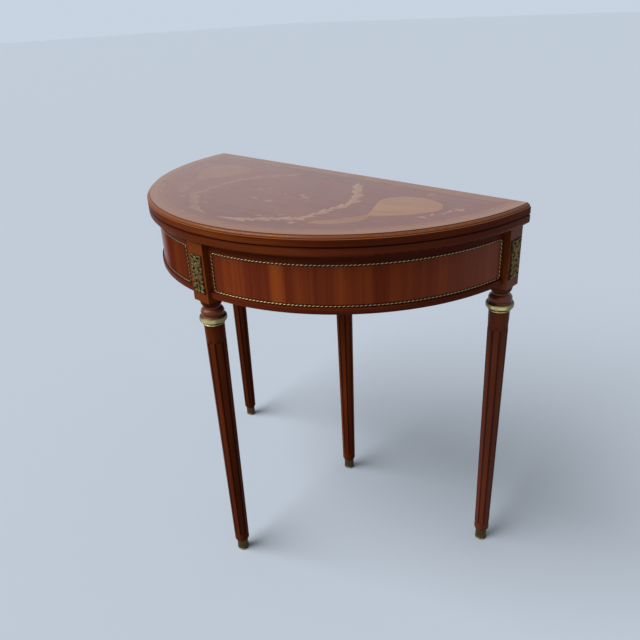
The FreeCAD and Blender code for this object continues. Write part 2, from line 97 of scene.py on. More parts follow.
class Sock:
    """Output of a shader node, so that maths on it reads as an expression."""

    def __init__(self, shade: "Shade", socket: Optional[bpy.types.NodeSocket]) -> None:
        """Keep the socket and the tree that it belongs to."""
        self.shade = shade
        self.socket = socket

    def of(self, name: str) -> "Sock":
        """Another output of the same node."""
        return Sock(self.shade, self.socket.node.outputs[name])

    def __add__(self, other: "Value") -> "Sock":
        """Sum."""
        return self.shade.math("ADD", self, other)

    __radd__ = __add__

    def __sub__(self, other: "Value") -> "Sock":
        """Difference."""
        return self.shade.math("SUBTRACT", self, other)

    def __rsub__(self, other: "Value") -> "Sock":
        """Difference from a number."""
        return self.shade.math("SUBTRACT", other, self)

    def __mul__(self, other: "Value") -> "Sock":
        """Product."""
        return self.shade.math("MULTIPLY", self, other)

    __rmul__ = __mul__

    def __truediv__(self, other: "Value") -> "Sock":
        """Quotient."""
        return self.shade.math("DIVIDE", self, other)

    def __abs__(self) -> "Sock":
        """Size without the sign."""
        return self.shade.math("ABSOLUTE", self)

    def over(self, other: "Value") -> "Sock":
        """Larger of the two."""
        return self.shade.math("MAXIMUM", self, other)

    def under(self, other: "Value") -> "Sock":
        """Smaller of the two."""
        return self.shade.math("MINIMUM", self, other)


Value = Union[Sock, float]


class Shade:
    """Node tree of a material or of the world, with one way to add each kind of node."""

    def __init__(self, tree: bpy.types.NodeTree) -> None:
        """Start from an empty tree."""
        tree.nodes.clear()
        self.tree = tree

    def node(
        self,
        kind: str,
        settings: Optional[Dict[str, Any]] = None,
        inputs: Optional[Dict[Union[str, int], Any]] = None,
        out: Union[str, int] = 0,
    ) -> Sock:
        """Add a node.

        Args:
            kind: type name of the node.
            settings: properties to set first.
            inputs: values or links of its sockets.
            out: output to hand back.

        Returns:
            The chosen output.
        """
        node = self.tree.nodes.new(kind)
        for key, value in (settings or {}).items():
            setattr(node, key, value)
        for key, value in (inputs or {}).items():
            if isinstance(value, Sock):
                self.tree.links.new(value.socket, node.inputs[key])
            else:
                colour = node.inputs[key].type == "RGBA" and len(value) == 3
                node.inputs[key].default_value = (*value, 1.0) if colour else value
        return Sock(self, node.outputs[out] if node.outputs else None)

    def math(self, operation: str, *values: Value) -> Sock:
        """Math node on up to three values."""
        return self.node("ShaderNodeMath", {"operation": operation}, dict(enumerate(values)))

    def step(self, value: Value, low: float, high: float) -> Sock:
        """Smooth step from 0 at low to 1 at high."""
        ends = {0: value, 1: low, 2: high, 3: 0.0, 4: 1.0}
        return self.node("ShaderNodeMapRange", {"interpolation_type": "SMOOTHSTEP"}, ends)

    def fall(self, value: Value, low: float, high: float) -> Sock:
        """Smooth step from 1 at low to 0 at high."""
        return 1.0 - self.step(value, low, high)

    def blend(self, factor: Value, first: Any, second: Any) -> Sock:
        """Colour between the first, where the factor is 0, and the second."""
        inputs = {0: factor, 6: first, 7: second}
        return self.node("ShaderNodeMix", {"data_type": "RGBA", "blend_type": "MIX"}, inputs, 2)

    def ramp(self, factor: Value, *stops: Tuple[float, Colour]) -> Sock:
        """Colour by stops.

        Args:
            factor: number to look up.
            stops: places and colours, from low to high.

        Returns:
            Colour at the factor.
        """
        colour = self.node("ShaderNodeValToRGB", None, {0: factor})
        elements = colour.socket.node.color_ramp.elements
        while len(elements) < len(stops):
            elements.new(1.0)
        for element, (place, tone) in zip(elements, stops):
            element.position = place
            element.color = (*tone, 1.0)
        return colour

    def noise(self, place: Sock, scale: float = 1.0, detail: float = 3.0, rough: float = 0.5) -> Sock:
        """Noise between 0 and 1 at a place."""
        inputs = {"Vector": place, "Scale": scale, "Detail": detail, "Roughness": rough}
        return self.node("ShaderNodeTexNoise", None, inputs)

    def figure(self, figure: Figure, *axes: Value) -> Sock:
        """Noise of a figure.

        Args:
            figure: scale of the noise.
            axes: three lengths; a plain number in their place sets one noise apart from another.

        Returns:
            Noise between 0 and 1.
        """
        stretched = (axis * cells for axis, cells in zip(axes, figure.cells))
        place = self.node("ShaderNodeCombineXYZ", None, dict(enumerate(stretched)))
        return self.noise(place, 1.0, figure.detail, figure.rough)

    def place(self) -> Sock:
        """Point on the piece, in metres in the table's own frame."""
        return self.node("ShaderNodeTexCoord", out="Object")

    def parts(self) -> Tuple[Sock, Sock, Sock]:
        """The three coordinates of the point on the piece."""
        x = self.node("ShaderNodeSeparateXYZ", None, {0: self.place()})
        return x, x.of("Y"), x.of("Z")

    def about(self, axis: Flat) -> Tuple[Sock, Sock, Sock, Sock]:
        """Where the point lies about an upright axis.

        Args:
            axis: x and y of the axis.

        Returns:
            Distances from it in x and in y, radius, and height.
        """
        x, y, z = self.parts()
        aside = x - axis[0]
        deep = y - axis[1]
        return aside, deep, self.math("SQRT", aside * aside + deep * deep), z

    def attribute(self, name: str) -> Sock:
        """Number kept on the mesh under a name."""
        return self.node("ShaderNodeAttribute", {"attribute_name": name}, None, "Fac")

    def bump(self, height: Value, strength: float, distance: float) -> Sock:
        """Normal bent by a height."""
        inputs = {"Strength": strength, "Distance": distance, "Height": height}
        return self.node("ShaderNodeBump", None, inputs)

    def surface(self, inputs: Dict[str, Any]) -> None:
        """Close a material with a principled surface."""
        shader = self.node("ShaderNodeBsdfPrincipled", None, inputs)
        self.node("ShaderNodeOutputMaterial", None, {"Surface": shader})


@dataclass(frozen=True)
class Finish:
    """Procedural finish of a piece."""

    name: str

    def paint(self, shade: Shade) -> None:
        """Fill the tree of the material; each finish has its own way."""
        raise NotImplementedError

    def material(self) -> bpy.types.Material:
        """Make the material.

        Returns:
            New material with this finish.
        """
        material = bpy.data.materials.new(self.name)
        material.use_nodes = True
        self.paint(Shade(material.node_tree))
        return material


def dress(finish: Finish, *nodes: str) -> None:
    """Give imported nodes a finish.

    Args:
        finish: finish to make.
        nodes: names of the nodes.
    """
    material = finish.material()
    for name in nodes:
        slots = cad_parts[name].data.materials
        slots.clear()
        slots.append(material)


@dataclass(frozen=True)
class Plan:
    """Centres and radii of the round parts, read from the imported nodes."""

    SETBACK: ClassVar[float] = 4.0 * MM
    OVERHANG: ClassVar[float] = 20.5 * MM
    back_y: float
    core_radius: float
    field_radius: float
    field_back: float
    arc_y: float
    apron_radius: float
    top_z: float

    @classmethod
    def measure(cls) -> "Plan":
        """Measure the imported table.

        Returns:
            Its plan; the apron's arc stands back from the rear edge, and the leaf overhangs it.
        """
        band_low, band_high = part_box("top_crossband")
        field_low, field_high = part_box("top_marquetry")
        edge_low, edge_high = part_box("upper_edging")
        back_y = band_high[1]
        return cls(
            back_y=back_y,
            core_radius=(band_high[0] - band_low[0]) / 2,
            field_radius=back_y - field_low[1],
            field_back=field_high[1],
            arc_y=back_y - cls.SETBACK,
            apron_radius=(edge_high[0] - edge_low[0]) / 2 - cls.OVERHANG,
            top_z=band_high[2],
        )

    def span(self, node: str) -> Tuple[float, float]:
        """Find where a node on the apron begins and ends.

        Args:
            node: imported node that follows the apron.

        Returns:
            Lengths round the apron, from its middle, at the front leg and at the side leg.
        """
        low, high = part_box(node)
        front = math.asin(min(abs(low[0]), abs(high[0])) / self.apron_radius)
        side = math.pi / 2 - math.asin((self.arc_y - high[1]) / self.apron_radius)
        return self.apron_radius * front, self.apron_radius * side


PLAN = Plan.measure()


def fibres(shade: Shade, grain: Grain, centre_y: float = PLAN.arc_y) -> Tuple[Sock, Sock, Sock]:
    """Lengths along and across the grain of a piece.

    Args:
        shade: tree to add to.
        grain: way that the fibres run.
        centre_y: centre of the arc, for round and radial grain.

    Returns:
        Length along the grain, across it, and square to both.
    """
    if grain in (Grain.ROUND, Grain.RADIAL):
        x, depth, radius, z = shade.about((0.0, centre_y))
        sweep = shade.math("ARCTAN2", x, 0.0 - depth) * PLAN.apron_radius
        return (sweep, radius, z) if grain is Grain.ROUND else (radius, sweep, z)
    x, y, z = shade.parts()
    return {Grain.ALONG_X: (x, y, z), Grain.ALONG_Y: (y, x, z), Grain.ALONG_Z: (z, x, y)}[grain]


@dataclass(frozen=True)
class VarnishedWood(Finish):
    """Red-brown cabinet wood under worn varnish."""

    CLOUD: ClassVar[Figure] = Figure((3.0, 14.0, 14.0), 2.0)
    RIBBON: ClassVar[Figure] = Figure((2.4, 95.0, 95.0))
    FIBRE: ClassVar[Figure] = Figure((16.0, 620.0, 620.0), 4.0, 0.6)
    PORE: ClassVar[Figure] = Figure((90.0, 2600.0, 2600.0), 1.0)
    OPEN_PORE: ClassVar[Flat] = (0.62, 0.74)
    STOPS: ClassVar[Tuple[float, float, float]] = (0.28, 0.50, 0.74)
    POLISHED: ClassVar[Flat] = (80.0 * MM, 400.0 * MM)
    SMEAR_SCALE: ClassVar[float] = 26.0
    grain: Grain
    dark: Colour = (0.055, 0.009, 0.003)
    middle: Colour = (0.115, 0.0205, 0.006)
    light: Colour = (0.198, 0.047, 0.011)
    rough: float = 0.30
    coat_rough: float = 0.26
    polish: float = 0.10
    specular: float = 0.015
    centre_y: float = PLAN.arc_y
    pores: float = 0.45

    def toned(self, shade: Shade, tone: Sock) -> Sock:
        """Colour of the wood at a tone, from dark to light."""
        return shade.ramp(tone, *zip(self.STOPS, (self.dark, self.middle, self.light)))

    def pored(self, shade: Shade, colour: Sock, *axes: Value) -> Sock:
        """Colour with the dark pores of the wood."""
        pore = shade.figure(self.PORE, *axes)
        return shade.blend(shade.step(pore, *self.OPEN_PORE) * self.pores, colour, scaled(self.dark, 0.4))

    def draw_grain(self, shade: Shade) -> Tuple[Sock, Sock, Sock]:
        """Draw the figure of the wood.

        Args:
            shade: tree to add to.

        Returns:
            Colour, fine fibre and broad cloud of the wood.
        """
        axes = fibres(shade, self.grain, self.centre_y)
        cloud = shade.figure(self.CLOUD, *axes)
        ribbon = shade.figure(self.RIBBON, *axes)
        fibre = shade.figure(self.FIBRE, *axes)
        tone = cloud * 0.55 + ribbon * 0.50 + fibre * 0.30 - 0.17
        return self.pored(shade, self.toned(shade, tone), *axes), fibre, cloud

    def varnish(self, shade: Shade, colour: Sock, fibre: Sock, cloud: Sock, gloss: Value = 0.0) -> None:
        """Close the tree with the varnish, which is better kept on the right-hand side.

        Args:
            shade: tree to close.
            colour: colour of the wood.
            fibre: fine figure, for the relief.
            cloud: broad figure, for the sheen.
            gloss: share of clear varnish.
        """
        smear = shade.noise(shade.place(), self.SMEAR_SCALE)
        polish = shade.step(shade.parts()[0], *self.POLISHED) * self.polish
        shade.surface({
            "Base Color": colour,
            "Roughness": self.rough + (smear - 0.5) * 0.16 + (cloud - 0.5) * 0.08,
            "Coat Weight": polish + gloss,
            "Coat Roughness": self.coat_rough,
            "Specular IOR Level": self.specular,
            "Normal": shade.bump(fibre, 0.10, 0.2 * MM),
        })

    def paint(self, shade: Shade) -> None:
        """Plain wood."""
        self.varnish(shade, *self.draw_grain(shade))


@dataclass(frozen=True)
class LegWood(VarnishedWood):
    """Varnished leg wood with painted shade in the flutes, a painted shadow along the foot of the block, and
    painted light on the bulb.
    """

    FLUTE: ClassVar[Flat] = (0.2 * MM, 1.2 * MM)
    ARRIS: ClassVar[Flat] = (-0.2 * MM, 0.15 * MM)
    polish: float = 0.20
    axis: Flat = (0.0, 0.0)
    block: Colour = (0.240, 0.049, 0.005)
    bulb: Colour = (0.225, 0.060, 0.020)
    bulb_gloss: float = 0.48
    bulb_rise: float = 17.0 * MM
    block_rise: float = 32.0 * MM
    ring_top: float = 0.0
    shaft_top: float = 0.0
    shaft_bottom: float = 0.0
    top_radius: float = 19.4 * MM
    bottom_radius: float = 15.2 * MM
    wear: float = 0.35
    brighten: float = 0.85
    shadow: float = 0.7
    painted_light_share: float = 0.6
    flute_shade_tone: float = 0.32
    painted_shade: float = 0.62

    def paint(self, shade: Shade) -> None:
        """One leg about its own axis, from the flutes up to the block.

        Args:
            shade: tree of the material.
        """
        colour, fibre, cloud = self.draw_grain(shade)
        _, _, radius, z = shade.about(self.axis)
        taper = (self.top_radius - self.bottom_radius) / (self.shaft_top - self.shaft_bottom)
        sunk = (z - self.shaft_bottom) * taper + self.bottom_radius - radius
        on_shaft = shade.fall(z, self.shaft_top - 1.0 * MM, self.shaft_top)
        # painted shade: the flutes darken with their depth below the shaft
        groove = shade.step(sunk, *self.FLUTE) * on_shaft
        worn = shade.step(sunk, *self.ARRIS) * (1.0 - groove) * on_shaft * cloud
        colour = shade.blend(worn * self.wear, colour, self.light)
        neck = self.ring_top + self.bulb_rise
        on_block = shade.step(z, neck, neck + 4.0 * MM)
        colour = shade.blend(on_block * self.brighten, colour, shade.blend(cloud, self.light, self.block))
        foot_of_block = self.ring_top + self.block_rise
        below = on_block * shade.fall(z, foot_of_block - 3.0 * MM, foot_of_block)
        colour = shade.blend(below * self.shadow, colour, self.dark)
        # painted light: the bulb is lighter and redder, as if lit, where the block shades it
        on_bulb = shade.step(z, self.ring_top - 1.0 * MM, self.ring_top) * (1.0 - on_block)
        colour = shade.blend(on_bulb * self.painted_light_share, colour, self.bulb)
        # painted shade in the flutes
        colour = shade.blend(groove * self.painted_shade, colour, scaled(self.dark, self.flute_shade_tone))
        self.varnish(shade, colour, fibre, cloud, on_bulb * self.bulb_gloss)


@dataclass(frozen=True)
class EdgeWood(VarnishedWood):
    """Wood of the leaves' lipping, with a painted highlight on the bead and on the ledge's arris, and painted
    shade in the quirk, at the root of the bead and along the seam.

    A ledge gives it the bead, the quirk and the flat border above; without one it is plain.
    """

    SEAM_SHADE: ClassVar[Flat] = (0.6 * MM, 2.4 * MM)
    ARRIS: ClassVar[Flat] = (0.15 * MM, 0.45 * MM)
    ROOT: ClassVar[Flat] = (0.3 * MM, 0.7 * MM)
    ROOT_RISE: ClassVar[float] = 1.0 * MM
    high: float = 0.0
    seam: float = 0.0
    rim: float = 0.0
    ledge: Optional[float] = None
    quirk: float = 1.2 * MM
    bead_gloss: float = 0.40
    top_gloss: float = 0.85
    bead: Colour = (0.290, 0.085, 0.020)
    arris_highlight: Colour = (0.380, 0.125, 0.030)
    border: Colour = (0.385, 0.158, 0.068)
    seam_shade: float = 0.85
    root_shade: float = 0.75
    quirk_shade: float = 0.55
    arris_highlight_share: float = 0.8

    def paint(self, shade: Shade) -> None:
        """One lipping, from the seam up.

        Args:
            shade: tree of the material.
        """
        colour, fibre, cloud = self.draw_grain(shade)
        _, radius, z = fibres(shade, Grain.ROUND, self.centre_y)
        painted_shade = scaled(self.dark, 0.2)
        outside = shade.step(radius, self.rim - 2.5 * MM, self.rim - 1.0 * MM)
        # painted shade along the seam between the two leaves, on the outside only
        in_seam = shade.fall(abs(z - self.seam), *self.SEAM_SHADE) * outside
        colour = shade.blend(in_seam * self.seam_shade, colour, painted_shade)
        if self.ledge is None:
            self.varnish(shade, colour, fibre, cloud)
            return
        on_bead = shade.step(z, self.ledge - 0.5 * MM, self.ledge - 0.1 * MM)
        on_top = shade.step(z, self.high - 0.35 * MM, self.high - 0.1 * MM)
        on_arris = shade.fall(abs(z - self.ledge), *self.ARRIS)
        root = shade.fall(abs(z - self.ledge - self.ROOT_RISE), *self.ROOT)
        fillet = self.high - self.quirk
        quirk = shade.step(z, fillet - 0.1 * MM, fillet + 0.1 * MM) * (1.0 - on_top)
        # painted highlight: the bead and the ledge's arris are painted lighter, as if catching the light
        colour = shade.blend(on_bead * (0.55 + cloud * 0.4), colour, self.bead)
        colour = shade.blend(on_arris * self.arris_highlight_share, colour, self.arris_highlight)
        # painted shade in the quirk and at the root of the bead
        hollow = (root * self.root_shade).over(quirk * self.quirk_shade)
        colour = shade.blend(hollow, colour, painted_shade)
        flat = shade.blend(fibre, self.border, scaled(self.border, 0.8))
        gloss = on_bead * self.bead_gloss + on_top * (self.top_gloss - self.bead_gloss)
        self.varnish(shade, shade.blend(on_top, colour, flat), fibre, cloud, gloss)


@dataclass(frozen=True)
class EndGlossAndGlare:
    """Gloss that a panel takes on toward its far end, with a painted glare that lightens its colour there;
    start and stop are shares of its length.
    """

    gloss: float = 0.32
    painted_light_share: float = 0.45
    start: float = 0.55
    stop: float = 1.0
    tone: Colour = (0.420, 0.100, 0.042)


@dataclass(frozen=True)
class StripedVeneer(VarnishedWood):
    """Ribbon-striped veneer laid upright round an apron panel, with painted shade as a dark line inside its
    frame.
    """

    WANDER: ClassVar[Figure] = Figure((9.0, 1.0, 6.0), 2.0)
    BAND: ClassVar[Figure] = Figure((42.0, 1.0, 0.8), 2.0, 0.6)
    STREAK: ClassVar[Figure] = Figure((300.0, 1.0, 3.0), 4.0, 0.6)
    FIBRE: ClassVar[Figure] = Figure((900.0, 1.0, 22.0), 3.0, 0.6)
    PORE: ClassVar[Figure] = Figure((2600.0, 1.0, 90.0), 1.0)
    STOPS: ClassVar[Tuple[float, float, float]] = (0.26, 0.50, 0.86)
    SWAY: ClassVar[float] = 5.0 * MM
    RECESS_SHADE: ClassVar[Colour] = (0.006, 0.003, 0.002)
    RECESS_SHADE_SHARE: ClassVar[float] = 0.92
    FOOT_SHADE_SHARE: ClassVar[float] = 0.8
    HEAD_SHADE_SHARE: ClassVar[float] = 0.6
    START_SHADE: ClassVar[float] = 0.45
    pores: float = 0.4
    low: float = 0.0
    high: float = 0.0
    near: float = 0.0
    far: float = 0.0
    side: float = 1.0
    end: EndGlossAndGlare = EndGlossAndGlare()
    stripes: Tuple[Tuple[float, float, float], ...] = ()

    def paint(self, shade: Shade) -> None:
        """One panel, from the front leg to the side leg.

        Args:
            shade: tree of the material.
        """
        sweep, _, z = fibres(shade, Grain.ROUND)
        turn = sweep * self.side
        across = turn + (shade.figure(self.WANDER, sweep, 0.0, z) - 0.5) * self.SWAY
        band = shade.figure(self.BAND, across, 0.0, z)
        streak = shade.figure(self.STREAK, across, 3.0, z)
        fibre = shade.figure(self.FIBRE, across, 7.0, z)
        tone = band * 0.62 + streak * 0.26 + fibre * 0.16 - 0.02
        for place, width, strength in self.stripes:
            tone = tone + shade.fall(abs(across - place), width * 0.25, width * 0.75) * strength
        colour = self.pored(shade, self.toned(shade, tone), across, 1.0, z)
        # painted shade: a dark line round the edge of the panel, beside the rope
        sides = shade.fall((turn - self.near).under(self.far - turn), 1.2 * MM, 2.6 * MM)
        foot = shade.fall(z, self.low + 0.5 * MM, self.low + 1.6 * MM)
        head = shade.step(z, self.high - 0.9 * MM, self.high - 0.2 * MM)
        line = sides.over(foot * self.FOOT_SHADE_SHARE).over(head * self.HEAD_SHADE_SHARE)
        colour = shade.blend(line * self.RECESS_SHADE_SHARE, colour, self.RECESS_SHADE)
        start = shade.fall(turn, self.near + 6.0 * MM, self.near + 50.0 * MM)
        colour = shade.blend(start * self.START_SHADE, colour, self.dark)
        # painted glare: toward the far end the colour is lifted toward a lighter tone
        end = shade.step(turn, self.far * self.end.start, self.far * self.end.stop)
        colour = shade.blend(end * self.end.painted_light_share, colour, self.end.tone)
        self.varnish(shade, colour, fibre, band, end * self.end.gloss)


@dataclass(frozen=True)
class TopVeneer(VarnishedWood):
    """Veneer of the top, with a harder and clearer polish than the rest."""

    rough: float = 0.24
    polish: float = 0.0
    specular: float = 0.5


@dataclass(frozen=True)
class Crossband(TopVeneer):
    """Border of the top, its grain square to the edge that it follows, light along the rim."""

    BAND: ClassVar[Figure] = Figure((38.0, 3.0, 9.0), 2.0)
    STREAK: ClassVar[Figure] = Figure((330.0, 12.0, 9.0), 4.0, 0.6)
    FIBRE: ClassVar[Figure] = Figure((900.0, 40.0, 1.0))
    STOPS: ClassVar[Tuple[float, float, float]] = (0.30, 0.52, 0.80)
    INNER_GLARE_SPAN: ClassVar[Flat] = (-200.0 * MM, 60.0 * MM)
    INNER_GLARE_SHARE: ClassVar[float] = 0.9
    MITRE: ClassVar[float] = 0.05 * MM
    RIM_LINE: ClassVar[Flat] = (0.5 * MM, 0.9 * MM)
    RIM_SHARE: ClassVar[float] = 0.12
    band: float = 11.0 * MM
    field: Colour = (0.255, 0.088, 0.050)
    glare_colour: Colour = (0.305, 0.108, 0.054)

    def paint(self, shade: Shade) -> None:
        """Curved and straight border, mitred at the corners; inside the band it matches the field.

        Args:
            shade: tree of the material.
        """
        x, y, _ = shade.parts()
        radius, sweep, _ = fibres(shade, Grain.RADIAL, PLAN.back_y)
        from_back = PLAN.back_y - y
        from_rim = PLAN.core_radius - radius
        on_back = shade.step(from_rim - from_back, -self.MITRE, self.MITRE)
        along = from_back * on_back + from_rim * (1.0 - on_back)
        across = x * on_back + sweep * (1.0 - on_back)
        band = shade.figure(self.BAND, across, along, on_back)
        streak = shade.figure(self.STREAK, across, along, on_back)
        fibre = shade.figure(self.FIBRE, across, along, 5.0)
        colour = self.toned(shade, band * 0.55 + streak * 0.45 + fibre * 0.15 - 0.08)
        inside = shade.step(from_rim, self.band - 1.0 * MM, self.band + 1.0 * MM) * (1.0 - on_back)
        inner = shade.blend(streak, scaled(self.field, 0.85), scaled(self.field, 1.15))
        # painted glare: inside the band the colour pales toward the left, as on the field
        inner = shade.blend(shade.fall(x, *self.INNER_GLARE_SPAN) * self.INNER_GLARE_SHARE, inner, self.glare_colour)
        colour = shade.blend(inside, colour, inner)
        rim = shade.fall(along, *self.RIM_LINE) * self.RIM_SHARE
        self.varnish(shade, shade.blend(rim, colour, scaled(self.dark, 0.3)), fibre, band)


@dataclass(frozen=True)
class InlayVeneer(TopVeneer):
    """One wood of the marquetry; each cut piece has its own grain, tone and scorched end on the mesh."""

    CLOUD: ClassVar[Figure] = Figure((5.0, 13.0, 7.0))
    RIBBON: ClassVar[Figure] = Figure((4.0, 150.0, 7.0))
    FIBRE: ClassVar[Figure] = Figure((25.0, 800.0, 7.0), 4.0, 0.6)
    STOPS: ClassVar[Tuple[float, float, float]] = (0.26, 0.50, 0.78)
    scorch: float = 0.0
    glare_share: float = 0.66
    glare_span: Flat = (-30.0 * MM, 60.0 * MM)
    glare_colour: Colour = (0.302, 0.107, 0.054)

    def paint(self, shade: Shade) -> None:
        """Wood turned to the grain of each piece, with a painted glare that pales it toward the left.

        Args:
            shade: tree of the material.
        """
        x, y, _ = shade.parts()
        turn = shade.attribute("turn")
        tone = shade.attribute("tone")
        cosine = shade.math("COSINE", turn)
        sine = shade.math("SINE", turn)
        axes = (x * cosine + y * sine, y * cosine - x * sine, tone)
        cloud = shade.figure(self.CLOUD, *axes)
        ribbon = shade.figure(self.RIBBON, *axes)
        fibre = shade.figure(self.FIBRE, *axes)
        value = cloud * 0.45 + ribbon * 0.45 + fibre * 0.22 + (tone - 0.5) * 0.5 - 0.06
        burn = shade.attribute("scorch") * self.scorch
        colour = shade.blend(burn, self.toned(shade, value), scaled(self.dark, 0.35))
        # painted glare: the veneer pales toward the left
        glare = shade.fall(x, *self.glare_span) * self.glare_share
        self.varnish(shade, shade.blend(glare, colour, self.glare_colour), fibre, cloud)


@dataclass(frozen=True)
class PlainWood(Finish):
    """Unvarnished wood of the hidden frame, planed and a little dusty."""

    RINGS: ClassVar[Figure] = Figure((2.0, 60.0, 60.0))
    FIBRE: ClassVar[Figure] = Figure((18.0, 700.0, 700.0), 4.0, 0.6)
    grain: Grain
    dark: Colour = (0.17, 0.075, 0.030)
    light: Colour = (0.34, 0.185, 0.085)
    dust: Colour = (0.10, 0.055, 0.030)

    def paint(self, shade: Shade) -> None:
        """Growth rings, fibres and handling marks.

        Args:
            shade: tree of the material.
        """
        axes = fibres(shade, self.grain)
        rings = shade.figure(self.RINGS, *axes)
        fibre = shade.figure(self.FIBRE, *axes)
        dusty = shade.step(shade.noise(shade.place(), 9.0, 4.0), 0.50, 0.75)
        colour = shade.ramp(rings * 0.65 + fibre * 0.35, (0.34, self.dark), (0.66, self.light))
        shade.surface({
            "Base Color": shade.blend(dusty * 0.30, colour, self.dust),
            "Roughness": 0.62 + (fibre - 0.5) * 0.2,
            "Normal": shade.bump(fibre, 0.22, 0.3 * MM),
        })


@dataclass(frozen=True)
class Brass(Finish):
    """Brass with tarnish in clouds and fine rubbing marks.

    A slot height paints the slots of a row of screws as dark lines of painted shade.
    """

    LATHE: ClassVar[Figure] = Figure((1.0, 1.0, 2200.0), 2.0)
    CLOUD_SCALE: ClassVar[float] = 120.0
    SPECK_SCALE: ClassVar[float] = 900.0
    CLOUDED: ClassVar[Flat] = (0.42, 0.70)
    SPECKED: ClassVar[Flat] = (0.60, 0.75)
    SPECK_SHARE: ClassVar[float] = 0.18
    SLOT: ClassVar[Flat] = (0.25 * MM, 0.4 * MM)
    SLOT_SHADE: ClassVar[Colour] = (0.012, 0.010, 0.008)
    bright: Colour
    tarnish: Colour
    rough: float
    tarnish_share: float = 0.4
    slot_height: Optional[float] = None

    def wear(self, shade: Shade, worn: Sock) -> Sock:
        """Tarnish of the clouds alone."""
        return worn

    def paint(self, shade: Shade) -> None:
        """Turned or rolled brass.

        Args:
            shade: tree of the material.
        """
        cloud = shade.noise(shade.place(), self.CLOUD_SCALE, 4.0, 0.6)
        speck = shade.noise(shade.place(), self.SPECK_SCALE)
        z = shade.parts()[2]
        lathe = shade.figure(self.LATHE, 0.0, 0.0, z)
        specks = shade.step(speck, *self.SPECKED) * self.SPECK_SHARE
        # for rings and feet this share also carries painted shade
        worn = self.wear(shade, shade.step(cloud, *self.CLOUDED) * self.tarnish_share + specks)
        dull = shade.blend(cloud, scaled(self.tarnish, 0.6), scaled(self.tarnish, 1.4))
        colour = shade.blend(worn, self.bright, dull)
        if self.slot_height is not None:
            # painted shade: dark lines where the screw slots are
            slot = shade.fall(abs(z - self.slot_height), *self.SLOT)
            colour = shade.blend(slot, colour, self.SLOT_SHADE)
        shade.surface({
            "Base Color": colour,
            "Metallic": 1.0 - worn * 0.35,
            "Roughness": self.rough + worn * 0.25 + (lathe - 0.5) * 0.08,
            "Normal": shade.bump(lathe * 0.6 + speck * 0.4, 0.06, 0.1 * MM),
        })


@dataclass(frozen=True)
class RingBrass(Brass):
    """Brass ring with a painted reflection: bright on the swell of the side that faces one fixed way, with
    painted shade on its edges and on the sides turned away.
    """

    SHINE_WAY: ClassVar[Flat] = (0.40, -0.917)
    SHINE_SPAN: ClassVar[Flat] = (0.72, 0.97)
    low: float = 0.0
    high: float = 0.0
    axis: Flat = (0.0, 0.0)
    side_shade: float = 0.74
    edge_shade: float = 0.97
    edge: float = 5.0 * MM

    def wear(self, shade: Shade, worn: Sock) -> Sock:
        """Tarnish of the clouds, with painted shade on the two edges and on the sides turned away from the
        painted reflection.

        Args:
            shade: tree of the material.
            worn: tarnish of the clouds.

        Returns:
            Share of tarnish and painted shade, from 0 to 1.
        """
        # painted reflection: bright toward one fixed way, painted shade on the edges and on the sides turned
        # away
        aside, deep, radius, z = shade.about(self.axis)
        from_edge = (z - self.low).under(self.high - z)
        rim = shade.fall(from_edge, 0.2 * self.edge, self.edge) * self.edge_shade
        facing = (aside * self.SHINE_WAY[0] + deep * self.SHINE_WAY[1]) / radius
        return worn.over(rim.over(shade.fall(facing, *self.SHINE_SPAN) * self.side_shade))


@dataclass(frozen=True)
class GiltCasting(Finish):
    """Cast gilt brass, bright on the high parts of the mesh's relief and dark in the hollows."""

    GRIT_SCALE: ClassVar[float] = 1400.0
    CLOUD_SCALE: ClassVar[float] = 160.0
    high: Colour
    middle: Colour
    hollow: Colour
    rough: float

    def paint(self, shade: Shade) -> None:
        """Gilding by the relief, with grit and clouds.

        Args:
            shade: tree of the material.
        """
        grit = shade.noise(shade.place(), self.GRIT_SCALE)
        cloud = shade.noise(shade.place(), self.CLOUD_SCALE)
        value = shade.attribute("relief") + (grit - 0.5) * 0.22 + (cloud - 0.5) * 0.30
        shade.surface({
            "Base Color": shade.ramp(value, (0.16, self.hollow), (0.48, self.middle), (0.92, self.high)),
            "Metallic": shade.step(value, 0.10, 0.45),
            "Roughness": self.rough + shade.fall(value, 0.2, 0.8) * 0.25,
            "Specular IOR Level": 0.05,
            "Normal": shade.bump(grit, 0.25, 0.12 * MM),
        })


def skin(mesh: bmesh.types.BMesh, rings: Sequence[List[bmesh.types.BMVert]], closed: bool) -> None:
    """Join rings of vertices by smooth faces.

    Args:
        mesh: mesh to add to.
        rings: rings with the same number of vertices.
        closed: whether the last ring joins the first.
    """
    for index, ring in enumerate(rings if closed else rings[:-1]):
        after = rings[(index + 1) % len(rings)]
        for first in range(len(ring)):
            second = (first + 1) % len(ring)
            mesh.faces.new((ring[first], ring[second], after[second], after[first])).smooth = True


def close_mesh(mesh: bmesh.types.BMesh, name: str, material: bpy.types.Material) -> bpy.types.Mesh:
    """Turn a worked mesh into mesh data.

    Args:
        mesh: worked mesh, freed here.
        name: name of the data.
        material: finish of all its faces.

    Returns:
        The mesh data.
    """
    data = bpy.data.meshes.new(name)
    mesh.to_mesh(data)
    mesh.free()
    data.materials.append(material)
    return data


def new_piece(name: str, mesh: bpy.types.Mesh, body: str, slot: str, *nodes: str) -> bpy.types.Object:
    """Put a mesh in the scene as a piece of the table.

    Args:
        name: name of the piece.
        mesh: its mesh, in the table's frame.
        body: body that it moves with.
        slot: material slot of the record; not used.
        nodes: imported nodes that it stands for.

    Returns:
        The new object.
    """
    piece = bpy.data.objects.new(name, mesh)
    bpy.context.scene.collection.objects.link(piece)
    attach(piece, body)
    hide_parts(*nodes)
    log.info("%s: %d faces, for %s", name, len(mesh.polygons), ", ".join(nodes))
    return piece


